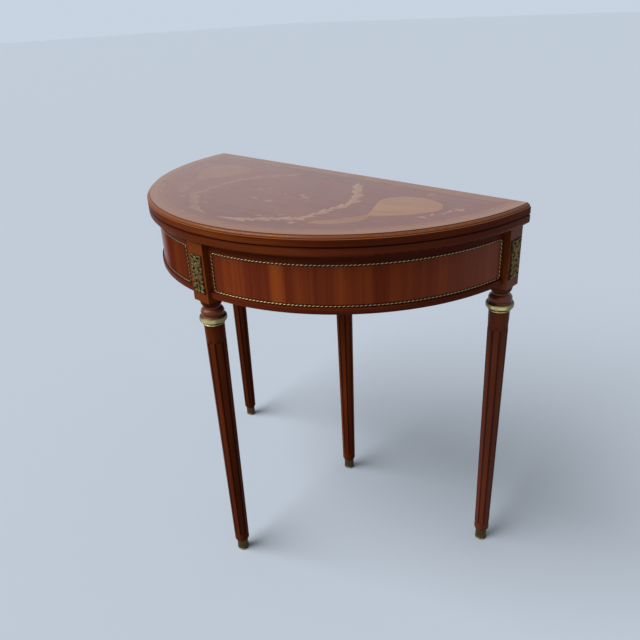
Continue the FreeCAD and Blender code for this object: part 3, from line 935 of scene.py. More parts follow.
def smooth_curve(points: Sequence[Flat], steps: int, closed: bool = False) -> List[Vector]:
    """Smooth line through a few points.

    Args:
        points: points of the line.
        steps: samples for each span.
        closed: whether the line returns to its start.

    Returns:
        Sampled points.
    """
    knots = [Vector(point) for point in points]
    spans = len(knots) if closed else len(knots) - 1
    line: List[Vector] = []
    for index in range(spans):
        if closed:
            before, start, end, after = (knots[(index + shift) % len(knots)] for shift in (-1, 0, 1, 2))
        else:
            before, after = knots[max(index - 1, 0)], knots[min(index + 2, spans)]
            start, end = knots[index], knots[index + 1]
        for step in range(steps):
            t = step / steps
            line.append(0.5 * (
                2 * start + (end - before) * t + (2 * before - 5 * start + 4 * end - after) * t ** 2
                + (3 * start - before - 3 * end + after) * t ** 3
            ))
    if not closed:
        line.append(knots[-1])
    return line


@dataclass
class Cut:
    """One cut piece of marquetry, in millimetres on the top."""

    outline: List[Vector]
    veneer: Veneer
    turn: float = 0.0
    tone: float = 0.5
    root: Optional[Vector] = None
    reach: Optional[Vector] = None

    def burn(self, place: Vector) -> float:
        """Find the scorch at a place.

        Args:
            place: point on the piece.

        Returns:
            1 at the root of the piece and 0 at its tip, or 0 for a piece without a root.
        """
        if self.root is None:
            return 0.0
        return min(max(1.0 - (place - self.root).dot(self.reach) / self.reach.length_squared, 0.0), 1.0)

    def mirrored(self) -> "Cut":
        """Draw the same piece for the other half.

        Returns:
            The piece across the middle of the top, its outline still anticlockwise.
        """
        def across(place: Optional[Vector]) -> Optional[Vector]:
            """Place or reach on the other half."""
            return None if place is None else Vector((-place.x, place.y))

        outline = [across(place) for place in reversed(self.outline)]
        return Cut(outline, self.veneer, -self.turn, self.tone, across(self.root), across(self.reach))


@dataclass
class Marquetry:
    """Inlaid field of the top: horns, garlands of leaves and scattered petals, the same on both sides.

    Lengths are in millimetres. Streaks are (root, length, width, lift in tone) and petals (root, heading,
    length, tone). The woods are in the order of Veneer.
    """

    woods: Tuple[InlayVeneer, ...] = (
        InlayVeneer(
            "marquetry_ground", Grain.ALONG_X, (0.170, 0.058, 0.036), (0.255, 0.088, 0.050),
            (0.335, 0.122, 0.066), glare_share=0.7, glare_span=(-260.0 * MM, 40.0 * MM),
        ),
        InlayVeneer(
            "marquetry_horn", Grain.ALONG_X, (0.250, 0.097, 0.036), (0.380, 0.161, 0.057),
            (0.505, 0.237, 0.090), scorch=0.10,
        ),
        InlayVeneer(
            "marquetry_leaf", Grain.ALONG_X, (0.350, 0.172, 0.082), (0.500, 0.260, 0.130),
            (0.620, 0.352, 0.190), scorch=0.36,
        ),
        InlayVeneer(
            "marquetry_blossom", Grain.ALONG_X, (0.290, 0.150, 0.100), (0.400, 0.215, 0.145),
            (0.500, 0.290, 0.200), scorch=0.15, glare_share=0.60,
        ),
        InlayVeneer(
            "marquetry_stem", Grain.ALONG_X, (0.210, 0.090, 0.032), (0.310, 0.140, 0.050),
            (0.400, 0.190, 0.070),
        ),
    )
    garland: Tuple[Flat, ...] = (
        (14, -159), (36, -157), (58, -149), (82, -134), (104, -117), (126, -101), (144, -85), (150, -56),
        (153, -26), (156, 2), (157, 29), (147, 53), (137, 74), (121, 95), (105, 114), (93, 131),
    )
    outer_spray: Tuple[Flat, ...] = ((300, 26), (318, 52), (330, 78), (338, 100))
    horn_body: Tuple[Flat, ...] = (
        (229, -8), (216, 20), (204, 44), (194, 66), (189, 88), (199, 110), (214, 122), (238, 131),
        (264, 129), (290, 120), (306, 103), (311, 80), (301, 57), (284, 34), (262, 12), (244, -2),
    )
    horn_tail: Tuple[Flat, ...] = (
        (230, -4), (220, -20), (206, -42), (192, -64), (173, -86), (177, -96), (204, -83), (225, -61),
        (239, -38), (236, -16),
    )
    horn_grain: float = 0.59
    horn_tone: float = 0.60
    tail_shade: float = -0.16
    streaks: Tuple[Tuple[Flat, float, float, float], ...] = (
        ((214, 28), 108.0, 9.0, 0.20), ((207, 58), 94.0, 8.0, -0.03),
        ((228, 12), 80.0, 11.0, -0.05), ((208, 92), 78.0, 7.0, 0.08),
    )
    petals: Tuple[Tuple[Flat, float, float, float], ...] = (
        ((9, -45), 0.25, 23.0, 0.80), ((35, 25), -0.35, 21.0, 0.60), ((52, 12), 0.10, 21.0, 0.60),
        ((3, 15), -0.40, 13.0, 0.55), ((243, 145), 0.90, 21.0, 0.40), ((237, 158), 0.50, 15.0, 0.35),
        ((328, 74), 1.20, 18.0, 0.30), ((336, 92), 1.40, 18.0, 0.36), ((326, 100), 0.90, 14.0, 0.28),
        ((98, -96), 0.60, 18.0, 0.45), ((66, -118), 0.30, 18.0, 0.45),
    )
    rosette: Flat = (150, -111)
    rosette_radius: float = 8.0
    rosette_petals: int = 5
    garland_leaf: float = 29.0
    outer_leaf: float = 16.0
    stem_width: float = 2.4
    stem_taper: float = 0.6
    leaf_steps: int = 7
    leaf_breadth: float = 0.46
    petal_breadth: float = 0.33
    rim_points: int = 121
    weld: float = 1e-4
    thickness: float = 0.8 * MM
    cuts: List[Cut] = field(default_factory=list)

    def add(self, points: Sequence[Vector], veneer: Veneer, turn: float, tone: float,
            root: Optional[Vector] = None, tip: Optional[Vector] = None) -> None:
        """Add a piece.

        Args:
            points: outline.
            veneer: wood of the piece.
            turn: angle of its grain.
            tone: how light it is, about 0.5.
            root: scorched end, if it has one.
            tip: clean end, if it has a root.
        """
        outline = list(points)
        area = sum(a.x * b.y - b.x * a.y for a, b in zip(outline, outline[1:] + outline[:1]))
        if area < 0:
            outline.reverse()
        self.cuts.append(Cut(outline, veneer, turn, tone, root, None if root is None else tip - root))

    def leaf(self, root: Vector, heading: float, length: float, width: float, veneer: Veneer = Veneer.LEAF,
             curl: float = 0.12, tone: float = 0.5, split: float = 0.13) -> None:
        """Almond leaf in two halves that meet on the midrib, one lighter than the other.

        Args:
            root: foot of the leaf.
            heading: direction in radians.
            length: length of the leaf.
            width: its width.
            veneer: wood of the leaf.
            curl: how far the midrib bends, as a share of the length.
            tone: how light it is.
            split: how far each half is from that tone.
        """
        axis = Vector((math.cos(heading), math.sin(heading)))
        across = Vector((-axis.y, axis.x))
        spine, edges = [], {1: [], -1: []}
        for index in range(self.leaf_steps + 1):
            t = index / self.leaf_steps
            middle = root + axis * (length * t) + across * (curl * length * math.sin(math.pi * t))
            inner = 0 < index < self.leaf_steps
            spread = width / 2 * math.sin(math.pi * t ** 0.8) ** 0.9 if inner else 0.0
            spine.append(middle)
            for half, edge in edges.items():
                edge.append(middle + across * (half * spread))
        for half, edge in edges.items():
            self.add(edge + spine[-2:0:-1], veneer, heading, tone + split * half, root, spine[-1])

    def stem(self, line: Sequence[Vector]) -> None:
        """Thin stem along a line, narrower at its end.

        Args:
            line: middle of the stem.
        """
        left, right = [], []
        for index, point in enumerate(line):
            ahead = line[min(index + 1, len(line) - 1)] - line[max(index - 1, 0)]
            across = Vector((-ahead.y, ahead.x)).normalized()
            half = self.stem_width / 2 * (1.0 - self.stem_taper * index / len(line))
            left.append(point + across * half)
            right.append(point - across * half)
        self.add(left + right[::-1], Veneer.STEM, turn=0.6, tone=0.55)

    def spray(self, points: Sequence[Flat], leaf_length: float, gap: int, opening: float) -> None:
        """Stem with leaves that leave it in turn to the left and right.

        Args:
            points: line of the stem.
            leaf_length: length of its longest leaves.
            gap: samples between leaves.
            opening: angle between leaf and stem.
        """
        line = smooth_curve(points, 8)
        self.stem(line)
        for order, index in enumerate(range(2, len(line) - 1, gap)):
            ahead = line[index + 1] - line[index - 1]
            heading = math.atan2(ahead.y, ahead.x)
            hand = 1 if order % 2 else -1
            length = leaf_length * (0.82 + 0.18 * math.cos(order * 1.7))
            self.leaf(
                line[index], heading + hand * opening, length, length * self.leaf_breadth,
                curl=-0.10 * hand, tone=0.52 + 0.10 * math.sin(order * 2.3),
            )
        ahead = line[-1] - line[-2]
        heading = math.atan2(ahead.y, ahead.x)
        self.leaf(line[-1], heading, leaf_length * 0.9, leaf_length * 0.32, tone=0.6)

    def flower(self, centre: Flat, radius: float, petals: int, tone: float) -> None:
        """Open flower of petals about a round eye.

        Args:
            centre: middle of the flower.
            radius: length of a petal.
            petals: number of petals.
            tone: how light it is.
        """
        middle = Vector(centre)
        for index in range(petals):
            heading = 2 * math.pi * index / petals + 0.3
            lift = 0.10 * math.cos(index * 2.1)
            self.leaf(middle, heading, radius, radius * 0.72, Veneer.BLOSSOM, 0.05, tone + lift)
        angles = np.linspace(0, 2 * math.pi, 11)[:-1]
        eye = [middle + Vector((math.cos(a), math.sin(a))) * radius * 0.22 for a in angles]
        self.add(eye, Veneer.LEAF, turn=0.4, tone=0.7)

    def horn(self) -> None:
        """Horn of plenty: a broad round mouth with streaks, and a tail that curls to the front."""
        for points, lift in ((self.horn_tail, self.tail_shade), (self.horn_body, 0.0)):
            line = smooth_curve(points, 4, closed=True)
            self.add(line, Veneer.HORN, self.horn_grain, self.horn_tone + lift)
        for root, length, width, lift in self.streaks:
            tone = self.horn_tone + lift
            self.leaf(Vector(root), self.horn_grain, length, width, Veneer.HORN, 0.02, tone, 0.03)

    def draw(self) -> None:
        """Draw every piece of the right half, from the ground up, and mirror them all."""
        self.flower(self.rosette, self.rosette_radius, self.rosette_petals, tone=0.45)
        self.horn()
        self.spray(self.garland, self.garland_leaf, gap=3, opening=0.42)
        self.spray(self.outer_spray, self.outer_leaf, gap=5, opening=0.75)
        for root, heading, length, tone in self.petals:
            self.leaf(Vector(root), heading, length, length * self.petal_breadth, Veneer.BLOSSOM, tone=tone)
        self.cuts += [cut.mirrored() for cut in self.cuts]

    def ground(self) -> Cut:
        """Draw the whole half-round field.

        Returns:
            The ground that all pieces are let into.
        """
        radius = PLAN.field_radius / MM
        centre_y = PLAN.back_y / MM
        end = math.asin((centre_y - PLAN.field_back / MM) / radius)
        rim = [
            Vector((radius * math.cos(angle), centre_y - radius * math.sin(angle)))
            for angle in np.linspace(math.pi - end, end, self.rim_points)
        ]
        return Cut(rim, Veneer.GROUND)

    def build(self) -> None:
        """Cut the field along every outline and set the pieces flush."""
        self.draw()
        faces = [self.ground()] + self.cuts
        points: List[Vector] = []
        loops: List[List[int]] = []
        for cut in faces:
            loops.append(list(range(len(points), len(points) + len(cut.outline))))
            points.extend(cut.outline)
        places, _, triangles, _, _, owners = delaunay_2d_cdt(points, [], loops, 1, self.weld)
        kept = [(list(t), max(owner)) for t, owner in zip(triangles, owners) if 0 in owner]
        mesh = bpy.data.meshes.new("marquetry_field")
        corners = [(p.x * MM, p.y * MM, PLAN.top_z) for p in places]
        mesh.from_pydata(corners, [], [triangle for triangle, _ in kept])
        turns = mesh.attributes.new("turn", "FLOAT", "FACE").data
        tones = mesh.attributes.new("tone", "FLOAT", "FACE").data
        burns = mesh.attributes.new("scorch", "FLOAT", "CORNER").data
        for polygon, (_, owner) in zip(mesh.polygons, kept):
            cut = faces[owner]
            polygon.material_index = cut.veneer.value
            turns[polygon.index].value = cut.turn
            tones[polygon.index].value = cut.tone
            for corner in polygon.loop_indices:
                burns[corner].value = cut.burn(places[mesh.loops[corner].vertex_index])
        for wood in self.woods:
            mesh.materials.append(wood.material())
        piece = new_piece("marquetry_field", mesh, "folding_leaf", "marquetry", "top_marquetry")
        sheet = piece.modifiers.new("veneer", "SOLIDIFY")
        sheet.thickness = self.thickness
        sheet.offset = -1.0


@dataclass
class FoldingTop:
    """The two leaves: boards, lippings and the crossbanded border."""

    border: Crossband = Crossband(
        "crossband_veneer", Grain.RADIAL, (0.235, 0.086, 0.037), (0.330, 0.128, 0.055), (0.405, 0.178, 0.082)
    )
    board: VarnishedWood = VarnishedWood("leaf_board", Grain.ALONG_X)
    ledge_drop: float = 6.5 * MM

    def build(self) -> None:
        """Dress the leaves."""
        low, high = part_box("upper_edging")
        place = {"centre_y": PLAN.back_y, "seam": low[2], "rim": high[0]}
        upper = EdgeWood(
            "upper_lipping", Grain.ROUND, (0.060, 0.009, 0.002), (0.128, 0.020, 0.004), (0.230, 0.062, 0.014),
            coat_rough=0.2, specular=0.006, high=high[2], ledge=high[2] - self.ledge_drop, **place,
        )
        lower = EdgeWood(
            "lower_lipping", Grain.ROUND, (0.060, 0.010, 0.003), (0.126, 0.021, 0.005), (0.210, 0.048, 0.011),
            **place,
        )
        dress(upper, "upper_edging")
        dress(lower, "lower_edging")
        dress(self.border, "top_crossband")
        dress(self.board, "upper_leaf", "lower_leaf")
        log.info("leaves dressed")


@dataclass
class RopeFrame:
    """Frame of twisted brass rope round an apron panel."""

    finish: GiltCasting = GiltCasting(
        "rope_brass", (0.46, 0.322, 0.152), (0.092, 0.058, 0.024), (0.006, 0.003, 0.001), 0.38
    )
    thickness: float = 3.0 * MM
    inset: float = 2.25 * MM
    lay: float = 14.4 * MM
    corner: float = 5.0 * MM
    seat: float = 0.35 * MM
    core: float = 0.62
    swell: float = 0.38
    ring_points: int = 10
    step: float = 0.9 * MM

    def route(self, low: float, high: float, near: float, far: float) -> List[Tuple[Flat, Flat]]:
        """Closed line round the panel, unrolled, with rounded corners.

        Args:
            low: height of the lower run.
            high: height of the upper run.
            near: length round the apron at the front leg.
            far: length round the apron at the side leg.

        Returns:
            Places on the line and their headings, at even steps.
        """
        r = self.corner
        corners = (
            (far - r, low + r, -90), (far - r, high - r, 0),
            (near + r, high - r, 90), (near + r, low + r, 180),
        )
        line: List[Vector] = []
        for x, z, first in corners:
            for turn in np.linspace(0.0, 90.0, 7):
                angle = math.radians(first + turn)
                line.append(Vector((x + r * math.cos(angle), z + r * math.sin(angle))))
        line.append(line[0])
        lengths = np.concatenate(([0.0], np.cumsum([(b - a).length for a, b in zip(line, line[1:])])))
        count = int(lengths[-1] / self.step)
        at = np.linspace(0.0, lengths[-1], count + 1)[:-1]
        xs = np.interp(at, lengths, [point.x for point in line])
        zs = np.interp(at, lengths, [point.y for point in line])
        places = list(zip(xs, zs))
        headings = []
        for index in range(count):
            ahead = Vector(places[(index + 1) % count]) - Vector(places[index - 1])
            headings.append(tuple(ahead.normalized()))
        return list(zip(places, headings))

    def build(self, side: int, name: str, node: str) -> None:
        """Lay the rope on one apron.

        Args:
            side: 1 for the right apron, -1 for the left.
            name: name of the piece.
            node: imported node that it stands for.
        """
        low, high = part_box(node)
        near, far = PLAN.span(node)
        route = self.route(low[2] + self.inset, high[2] - self.inset, near + self.inset, far - self.inset)
        turns = round(len(route) * self.step / self.lay)
        mesh = bmesh.new()
        relief = mesh.verts.layers.float.new("relief")
        rings = []
        for index, ((sweep, height), (run, rise)) in enumerate(route):
            angle = sweep / PLAN.apron_radius
            out = Vector((math.sin(angle) * side, -math.cos(angle), 0.0))
            around = Vector((math.cos(angle) * side, math.sin(angle), 0.0))
            across = around * -rise + Vector((0, 0, 1)) * run
            centre = out * (PLAN.apron_radius + self.seat) + Vector((0.0, PLAN.arc_y, height))
            phase = 2 * math.pi * turns * index / len(route)
            ring = []
            for point in range(self.ring_points):
                turn = 2 * math.pi * point / self.ring_points
                strand = abs(math.cos(turn - phase)) ** 0.7
                reach = self.thickness / 2 * (self.core + self.swell * strand)
                aside = across * (reach * math.sin(turn))
                vertex = mesh.verts.new(centre + out * (reach * math.cos(turn)) + aside)
                vertex[relief] = strand ** 2
                ring.append(vertex)
            rings.append(ring)
        skin(mesh, rings, closed=True)
        bmesh.ops.recalc_face_normals(mesh, faces=mesh.faces)
        material = bpy.data.materials.get(self.finish.name) or self.finish.material()
        new_piece(name, close_mesh(mesh, name, material), "table_frame", "gilt_brass", node)


@dataclass
class Aprons:
    """Curved aprons with their striped panels and rope frames."""

    wood: VarnishedWood = VarnishedWood(
        "apron_border", Grain.ROUND, (0.055, 0.008, 0.003), (0.115, 0.0175, 0.006), (0.190, 0.041, 0.012),
        polish=0.075,
    )
    ends: Tuple[EndGlossAndGlare, EndGlossAndGlare] = (EndGlossAndGlare(), EndGlossAndGlare(1.0, 0.7, 0.21, 0.37, (0.200, 0.050, 0.022)))
    # painted shade: the left panel is painted darker than the right, though both are the same veneer
    painted_light_tints: Flat = (1.0, 0.72)
    rope: RopeFrame = field(default_factory=RopeFrame)
    panel_tones: Tuple[Colour, Colour, Colour] = (
        (0.100, 0.016, 0.006), (0.198, 0.036, 0.014), (0.365, 0.080, 0.016),
    )
    stripes: Tuple[Tuple[float, float, float], ...] = (
        (61.0 * MM, 13.0 * MM, 0.14), (92.0 * MM, 13.0 * MM, 0.14), (163.0 * MM, 24.0 * MM, 0.38),
        (264.0 * MM, 26.0 * MM, 0.12), (372.0 * MM, 30.0 * MM, 0.08),
    )

    def build(self) -> None:
        """Dress both aprons."""
        dress(self.wood, "right_apron", "left_apron")
        for (side, hand), end, painted_tint in zip(HANDS, self.ends, self.painted_light_tints):
            veneer = f"{hand}_apron_veneer"
            low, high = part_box(veneer)
            near, far = PLAN.span(veneer)
            panel = StripedVeneer(
                f"{hand}_panel_veneer", Grain.ALONG_Z, *(scaled(tone, painted_tint) for tone in self.panel_tones),
                specular=0.0, polish=0.0, coat_rough=0.28, low=low[2], high=high[2], near=near, far=far,
                side=float(side), end=end, stripes=self.stripes,
            )
            dress(panel, veneer)
            self.rope.build(side, f"{hand}_rope_moulding", f"{hand}_rope_frame")
        log.info("aprons dressed")


class Relief:
    """Height map in millimetres, raised shape by shape."""

    def __init__(self, u: np.ndarray, v: np.ndarray) -> None:
        """Start flat, with the places across and up the map."""
        self.u, self.v = u, v
        self.top = np.zeros_like(u)

    def raise_to(self, shape: np.ndarray) -> None:
        """Keep the higher of the map and a shape."""
        np.maximum(self.top, shape, out=self.top)

    def leaf(self, root: Flat, heading: float, length: float, width: float, rise: float) -> None:
        """Raise a leaf with a groove along its midrib.

        Args:
            root: foot of the leaf.
            heading: direction in degrees.
            length: length of the leaf.
            width: its width.
            rise: its height.
        """
        angle = math.radians(heading)
        u, v = self.u - root[0], self.v - root[1]
        along = u * math.cos(angle) + v * math.sin(angle)
        across = v * math.cos(angle) - u * math.sin(angle)
        t = np.clip(along / length, 0.0, 1.0)
        spread = width / 2 * np.sin(np.pi * t ** 0.75) ** 0.8 + 1e-6
        inside = np.clip(1.0 - (np.abs(across) / spread) ** 2, 0.0, 1.0)
        inside = np.where((along > 0) & (along < length), inside, 0.0)
        rib = 1.0 - 0.38 * np.exp(-(across / 0.35) ** 2)
        veins = 1.0 + 0.10 * np.cos(along * 2.6 - np.abs(across) * 2.2)
        self.raise_to(rise * np.sqrt(inside) * rib * veins * (0.75 + 0.35 * np.sin(np.pi * t)))

    def ridge(self, points: Sequence[Flat], width: float, rise: float) -> None:
        """Raise a ribbon or stem along a smooth line.

        Args:
            points: points of the line.
            width: width of the ribbon.
            rise: its height.
        """
        for point in smooth_curve(points, 14):
            reach = np.hypot(self.u - point.x, self.v - point.y) / (width / 2)
            self.raise_to(rise * np.sqrt(np.clip(1.0 - reach ** 2, 0.0, 1.0)))

    def flower(self, centre: Flat, radius: float, petals: int, rise: float) -> None:
        """Raise a flower of petals about a button.

        Args:
            centre: middle of the flower.
            radius: length of a petal.
            petals: number of petals.
            rise: height of the petals.
        """
        for index in range(petals):
            self.leaf(centre, 360.0 * index / petals + 90.0, radius, radius * 0.9, rise)
        off = np.hypot(self.u - centre[0], self.v - centre[1])
        button = np.clip(1.0 - off ** 2 / (radius * 0.3) ** 2, 0.0, 1.0)
        self.raise_to(rise * 1.15 * np.sqrt(button))


@dataclass
class Plaques:
    """Cast plaques on the leg blocks: a bow, crossed torches, flowers and laurel, crowded on a chased plate.

    Lengths are in millimetres. Ribbons are (line, width, rise), leaves (x, y, heading, length) and flowers
    (height, radius, petals). Ribbons and leaves are drawn for the right half and mirrored.
    """

    finish: GiltCasting = GiltCasting(
        "plaque_brass", (0.190, 0.124, 0.044), (0.067, 0.043, 0.0155), (0.011, 0.007, 0.002), 0.42
    )
    base: float = 0.9
    lowest: float = 0.2
    crown: float = 3.7
    waist: float = 2.4
    rim: float = 0.8
    cell: float = 0.40
    full: float = 2.4
    leaf_rise: float = 2.2
    flower_rise: float = 2.5
    ribbons: Tuple[Tuple[Tuple[Flat, ...], float, float], ...] = (
        (((0, 27), (5, 33), (12, 34.5), (15, 31), (8, 26.5), (0, 27)), 3.2, 1.9),
        (((0, 27), (5, 22), (12, 21), (15, 14), (11, 7), (14, 0)), 3.0, 1.4),
        (((-10, -8), (-3, 3), (8, 21)), 4.4, 2.3),
        (((0, -35), (7, -30), (12, -20), (13, -8)), 1.8, 1.4),
    )
    leaves: Tuple[Tuple[float, float, float, float], ...] = (
        (4, 31, 80, 6), (5, 24, -20, 10), (4, 14, 30, 11), (7, 12, -10, 10), (6, 2, 30, 9), (6, -2, -15, 11),
        (3, -7, -40, 11), (5, -13, 60, 10), (6, -15, 15, 11), (5, -20, -15, 12), (3, -22, 45, 10),
        (7, -27, 70, 9), (6, -27, 15, 11), (3, -31, -15, 13), (9, 30, -60, 7), (10, -8, 80, 10),
        (13, 10, -95, 9), (9, 24, 30, 8),
    )
    flowers: Tuple[Tuple[float, float, int], ...] = (
        (27.5, 3.6, 5), (17.0, 6.0, 7), (5.0, 6.6, 8), (-7.0, 4.6, 6),
    )

    def carve(self, u: np.ndarray, v: np.ndarray) -> np.ndarray:
        """Lay the ornament on the plate.

        Args:
            u: places across the plaque.
            v: places up the plaque.

        Returns:
            Height above the plate at each place.
        """
        relief = Relief(u, v)
        for hand, _ in HANDS:
            for points, width, rise in self.ribbons:
                relief.ridge([(x * hand, y) for x, y in points], width, rise)
            for x, y, heading, length in self.leaves:
                heading = heading if hand == 1 else 180 - heading
                relief.leaf((x * hand, y), heading, length, length * 0.46, self.leaf_rise)
        for height, radius, petals in self.flowers:
            relief.flower((0, height), radius, petals, self.flower_rise)
        relief.leaf((0, -36), 90, 15, 8.0, self.flower_rise)
        relief.leaf((0, -24), 90, 14, 6.5, self.leaf_rise)
        return relief.top

    def cast(self, u: np.ndarray, v: np.ndarray) -> Tuple[np.ndarray, np.ndarray, np.ndarray]:
        """Shape the casting: ornament on a scaled and chased plate with a waisted outline.

        Args:
            u: places across the plaque.
            v: places up the plaque.

        Returns:
            Where there is metal, its height, and the share of the relief that it reaches.
        """
        width, height = np.ptp(u), np.ptp(v)
        scales = np.sin(u * 1.35 + 0.8 * np.sin(v * 0.9)) * np.sin(v * 1.2 + 0.7 * np.sin(u * 1.1))
        chasing = 0.25 * np.sin(u * 3.7 + 1.3 * np.sin(v * 2.1)) * np.sin(v * 3.3 + 1.1 * np.sin(u * 2.7))
        waist = 0.5 * np.abs(np.sin(v * 0.55)) + self.waist * np.cos(np.pi * v / height) ** 2
        edge = np.minimum(width / 2 - np.abs(u) - waist, height / 2 - np.abs(v))
        metal = edge > 1e-6
        rim = 1.2 * np.clip(1.0 - np.abs(edge - self.rim) / self.rim, 0.0, 1.0)
        tall = self.base + np.maximum(np.maximum(self.carve(u, v), np.abs(scales) * 1.1), rim) + chasing
        tall = np.where(metal, np.clip(tall, self.lowest, self.crown), 0.0)
        share = np.where(metal, np.clip((tall - self.base) / self.full, 0.0, 1.0), 0.4)
        return metal, tall, share

    def build(self) -> None:
        """Cast the plaque once and set a copy on each block."""
        low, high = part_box("front_plaque")
        width, thick, height = (high[axis] - low[axis] for axis in range(3))
        across = int(width / MM / self.cell) + 1
        upward = int(height / MM / self.cell) + 1
        u, v = np.meshgrid(
            np.linspace(-0.5, 0.5, across) * (width / MM), np.linspace(-0.5, 0.5, upward) * (height / MM)
        )
        metal, tall, share = self.cast(u, v)
        quads = []
        for row in range(upward - 1):
            for col in range(across - 1):
                if metal[row:row + 2, col:col + 2].any():
                    first = row * across + col
                    quads.append((first, first + 1, first + across + 1, first + across))
        finish = self.finish.material()
        for name, heading in (("front", 0), ("right", 90), ("left", -90)):
            low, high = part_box(f"{name}_plaque")
            turn = Matrix.Rotation(math.radians(heading), 4, "Z")
            centre = Matrix.Translation((Vector(low) + Vector(high)) / 2)
            seat = centre @ turn @ Matrix.Translation((0.0, thick / 2, 0.0))
            mesh = bmesh.new()
            relief = mesh.verts.layers.float.new("relief")
            for a, b, t, part in zip(u.ravel(), v.ravel(), tall.ravel(), share.ravel()):
                mesh.verts.new(seat @ Vector((a * MM, -t * MM, b * MM)))[relief] = part
            mesh.verts.ensure_lookup_table()
            for quad in quads:
                mesh.faces.new([mesh.verts[corner] for corner in quad]).smooth = True
            loose = [vertex for vertex in mesh.verts if not vertex.link_faces]
            bmesh.ops.delete(mesh, geom=loose, context="VERTS")
            data = close_mesh(mesh, f"{name}_casting", finish)
            new_piece(f"{name}_casting", data, "table_frame", "gilt_brass", f"{name}_plaque")


@dataclass
class Legs:
    """Four legs with their rings and feet; tints of painted light and shade, one for the shaft and one for
    the block, make each leg lighter or darker.
    """

    bright: Colour = (0.86, 0.68, 0.300)
    tarnish: Colour = (0.080, 0.056, 0.015)
    shaft_end: float = 11.0 * MM
    # painted light and shade: each leg is lightened or darkened as it is lit
    painted_light_tints: Tuple[Tuple[str, float, float], ...] = (
        ("front", 0.95, 1.06), ("right", 1.20, 0.70), ("left", 0.80, 1.0), ("back", 1.30, 1.0),
    )
    foot_bright: Colour = (0.66, 0.52, 0.250)
    foot_tarnish: Colour = (0.082, 0.053, 0.014)
    foot_bead: float = 5.4 * MM
    foot_sides: int = 48
    foot_profile: Tuple[Flat, ...] = (
        (9.8, 0.0), (11.3, 0.5), (12.0, 2.0), (12.0, 3.4), (11.5, 4.8), (10.8, 5.4), (11.4, 6.2), (11.8, 7.4),
        (11.8, 8.6), (11.3, 9.6), (11.0, 10.2), (11.5, 10.9), (11.6, 14.0), (11.7, 20.0), (11.9, 24.4),
        (11.6, 25.4), (10.6, 25.6), (8.6, 24.6),
    )

    def turn_foot(self, name: str, axis: Flat) -> None:
        """Turn one foot: a plain cup that takes the end of the leg, over two beads.

        Args:
            name: leg that stands in the foot.
            axis: the leg's axis.
        """
        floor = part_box(f"{name}_foot")[0][2]
        # painted reflection: the foot is bright only on its lowest bead on one side, with painted shade
        # elsewhere
        finish = RingBrass(
            f"{name}_foot_brass", self.foot_bright, self.foot_tarnish, 0.34, 0.85, low=floor,
            high=floor + self.foot_bead, axis=axis, side_shade=1.0, edge_shade=1.0, edge=2.2 * MM,
        )
        angles = [2 * math.pi * index / self.foot_sides for index in range(self.foot_sides)]
        mesh = bmesh.new()
        rings = []
        for radius, rise in self.foot_profile:
            reach, z = radius * MM, floor + rise * MM
            rings.append([
                mesh.verts.new((axis[0] + reach * math.cos(angle), axis[1] + reach * math.sin(angle), z))
                for angle in angles
            ])
        skin(mesh, rings, closed=False)
        mesh.faces.new(rings[0][::-1])
        mesh.faces.new(rings[-1])
        data = close_mesh(mesh, f"{name}_foot_cup", finish.material())
        body = "back_leg_slide" if name == "back" else "table_frame"
        new_piece(f"{name}_foot_cup", data, body, "foot_brass", f"{name}_foot")

    def build(self) -> None:
        """Dress the legs, one wood for each because the flutes are found from the leg's axis."""
        ring_low, ring_top = (corner[2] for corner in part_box("front_leg_collar"))
        for name, painted_tint, block_painted_tint in self.painted_light_tints:
            low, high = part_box(f"{name}_foot")
            axis = ((low[0] + high[0]) / 2, (low[1] + high[1]) / 2)
            tones = (scaled(tone, painted_tint) for tone in (LegWood.dark, LegWood.middle, LegWood.light))
            wood = LegWood(
                f"{name}_leg_wood", Grain.ALONG_Z, *tones, axis=axis, block=scaled(LegWood.block, block_painted_tint),
                ring_top=ring_top, shaft_top=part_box(f"{name}_leg_bead")[0][2],
                shaft_bottom=high[2] + self.shaft_end,
            )
            # rings and beads carry the painted reflection and painted shade of RingBrass
            ring = RingBrass(
                f"{name}_ring_brass", self.bright, self.tarnish, 0.20, 0.30, low=ring_low, high=ring_top,
                axis=axis,
            )
            bead = RingBrass(
                f"{name}_bead_brass", self.bright, self.tarnish, 0.24, 0.40, axis=axis, edge_shade=0.0
            )
            dress(wood, f"{name}_leg")
            dress(ring, f"{name}_leg_collar")
            dress(bead, f"{name}_leg_bead")
            self.turn_foot(name, axis)
        log.info("legs dressed")


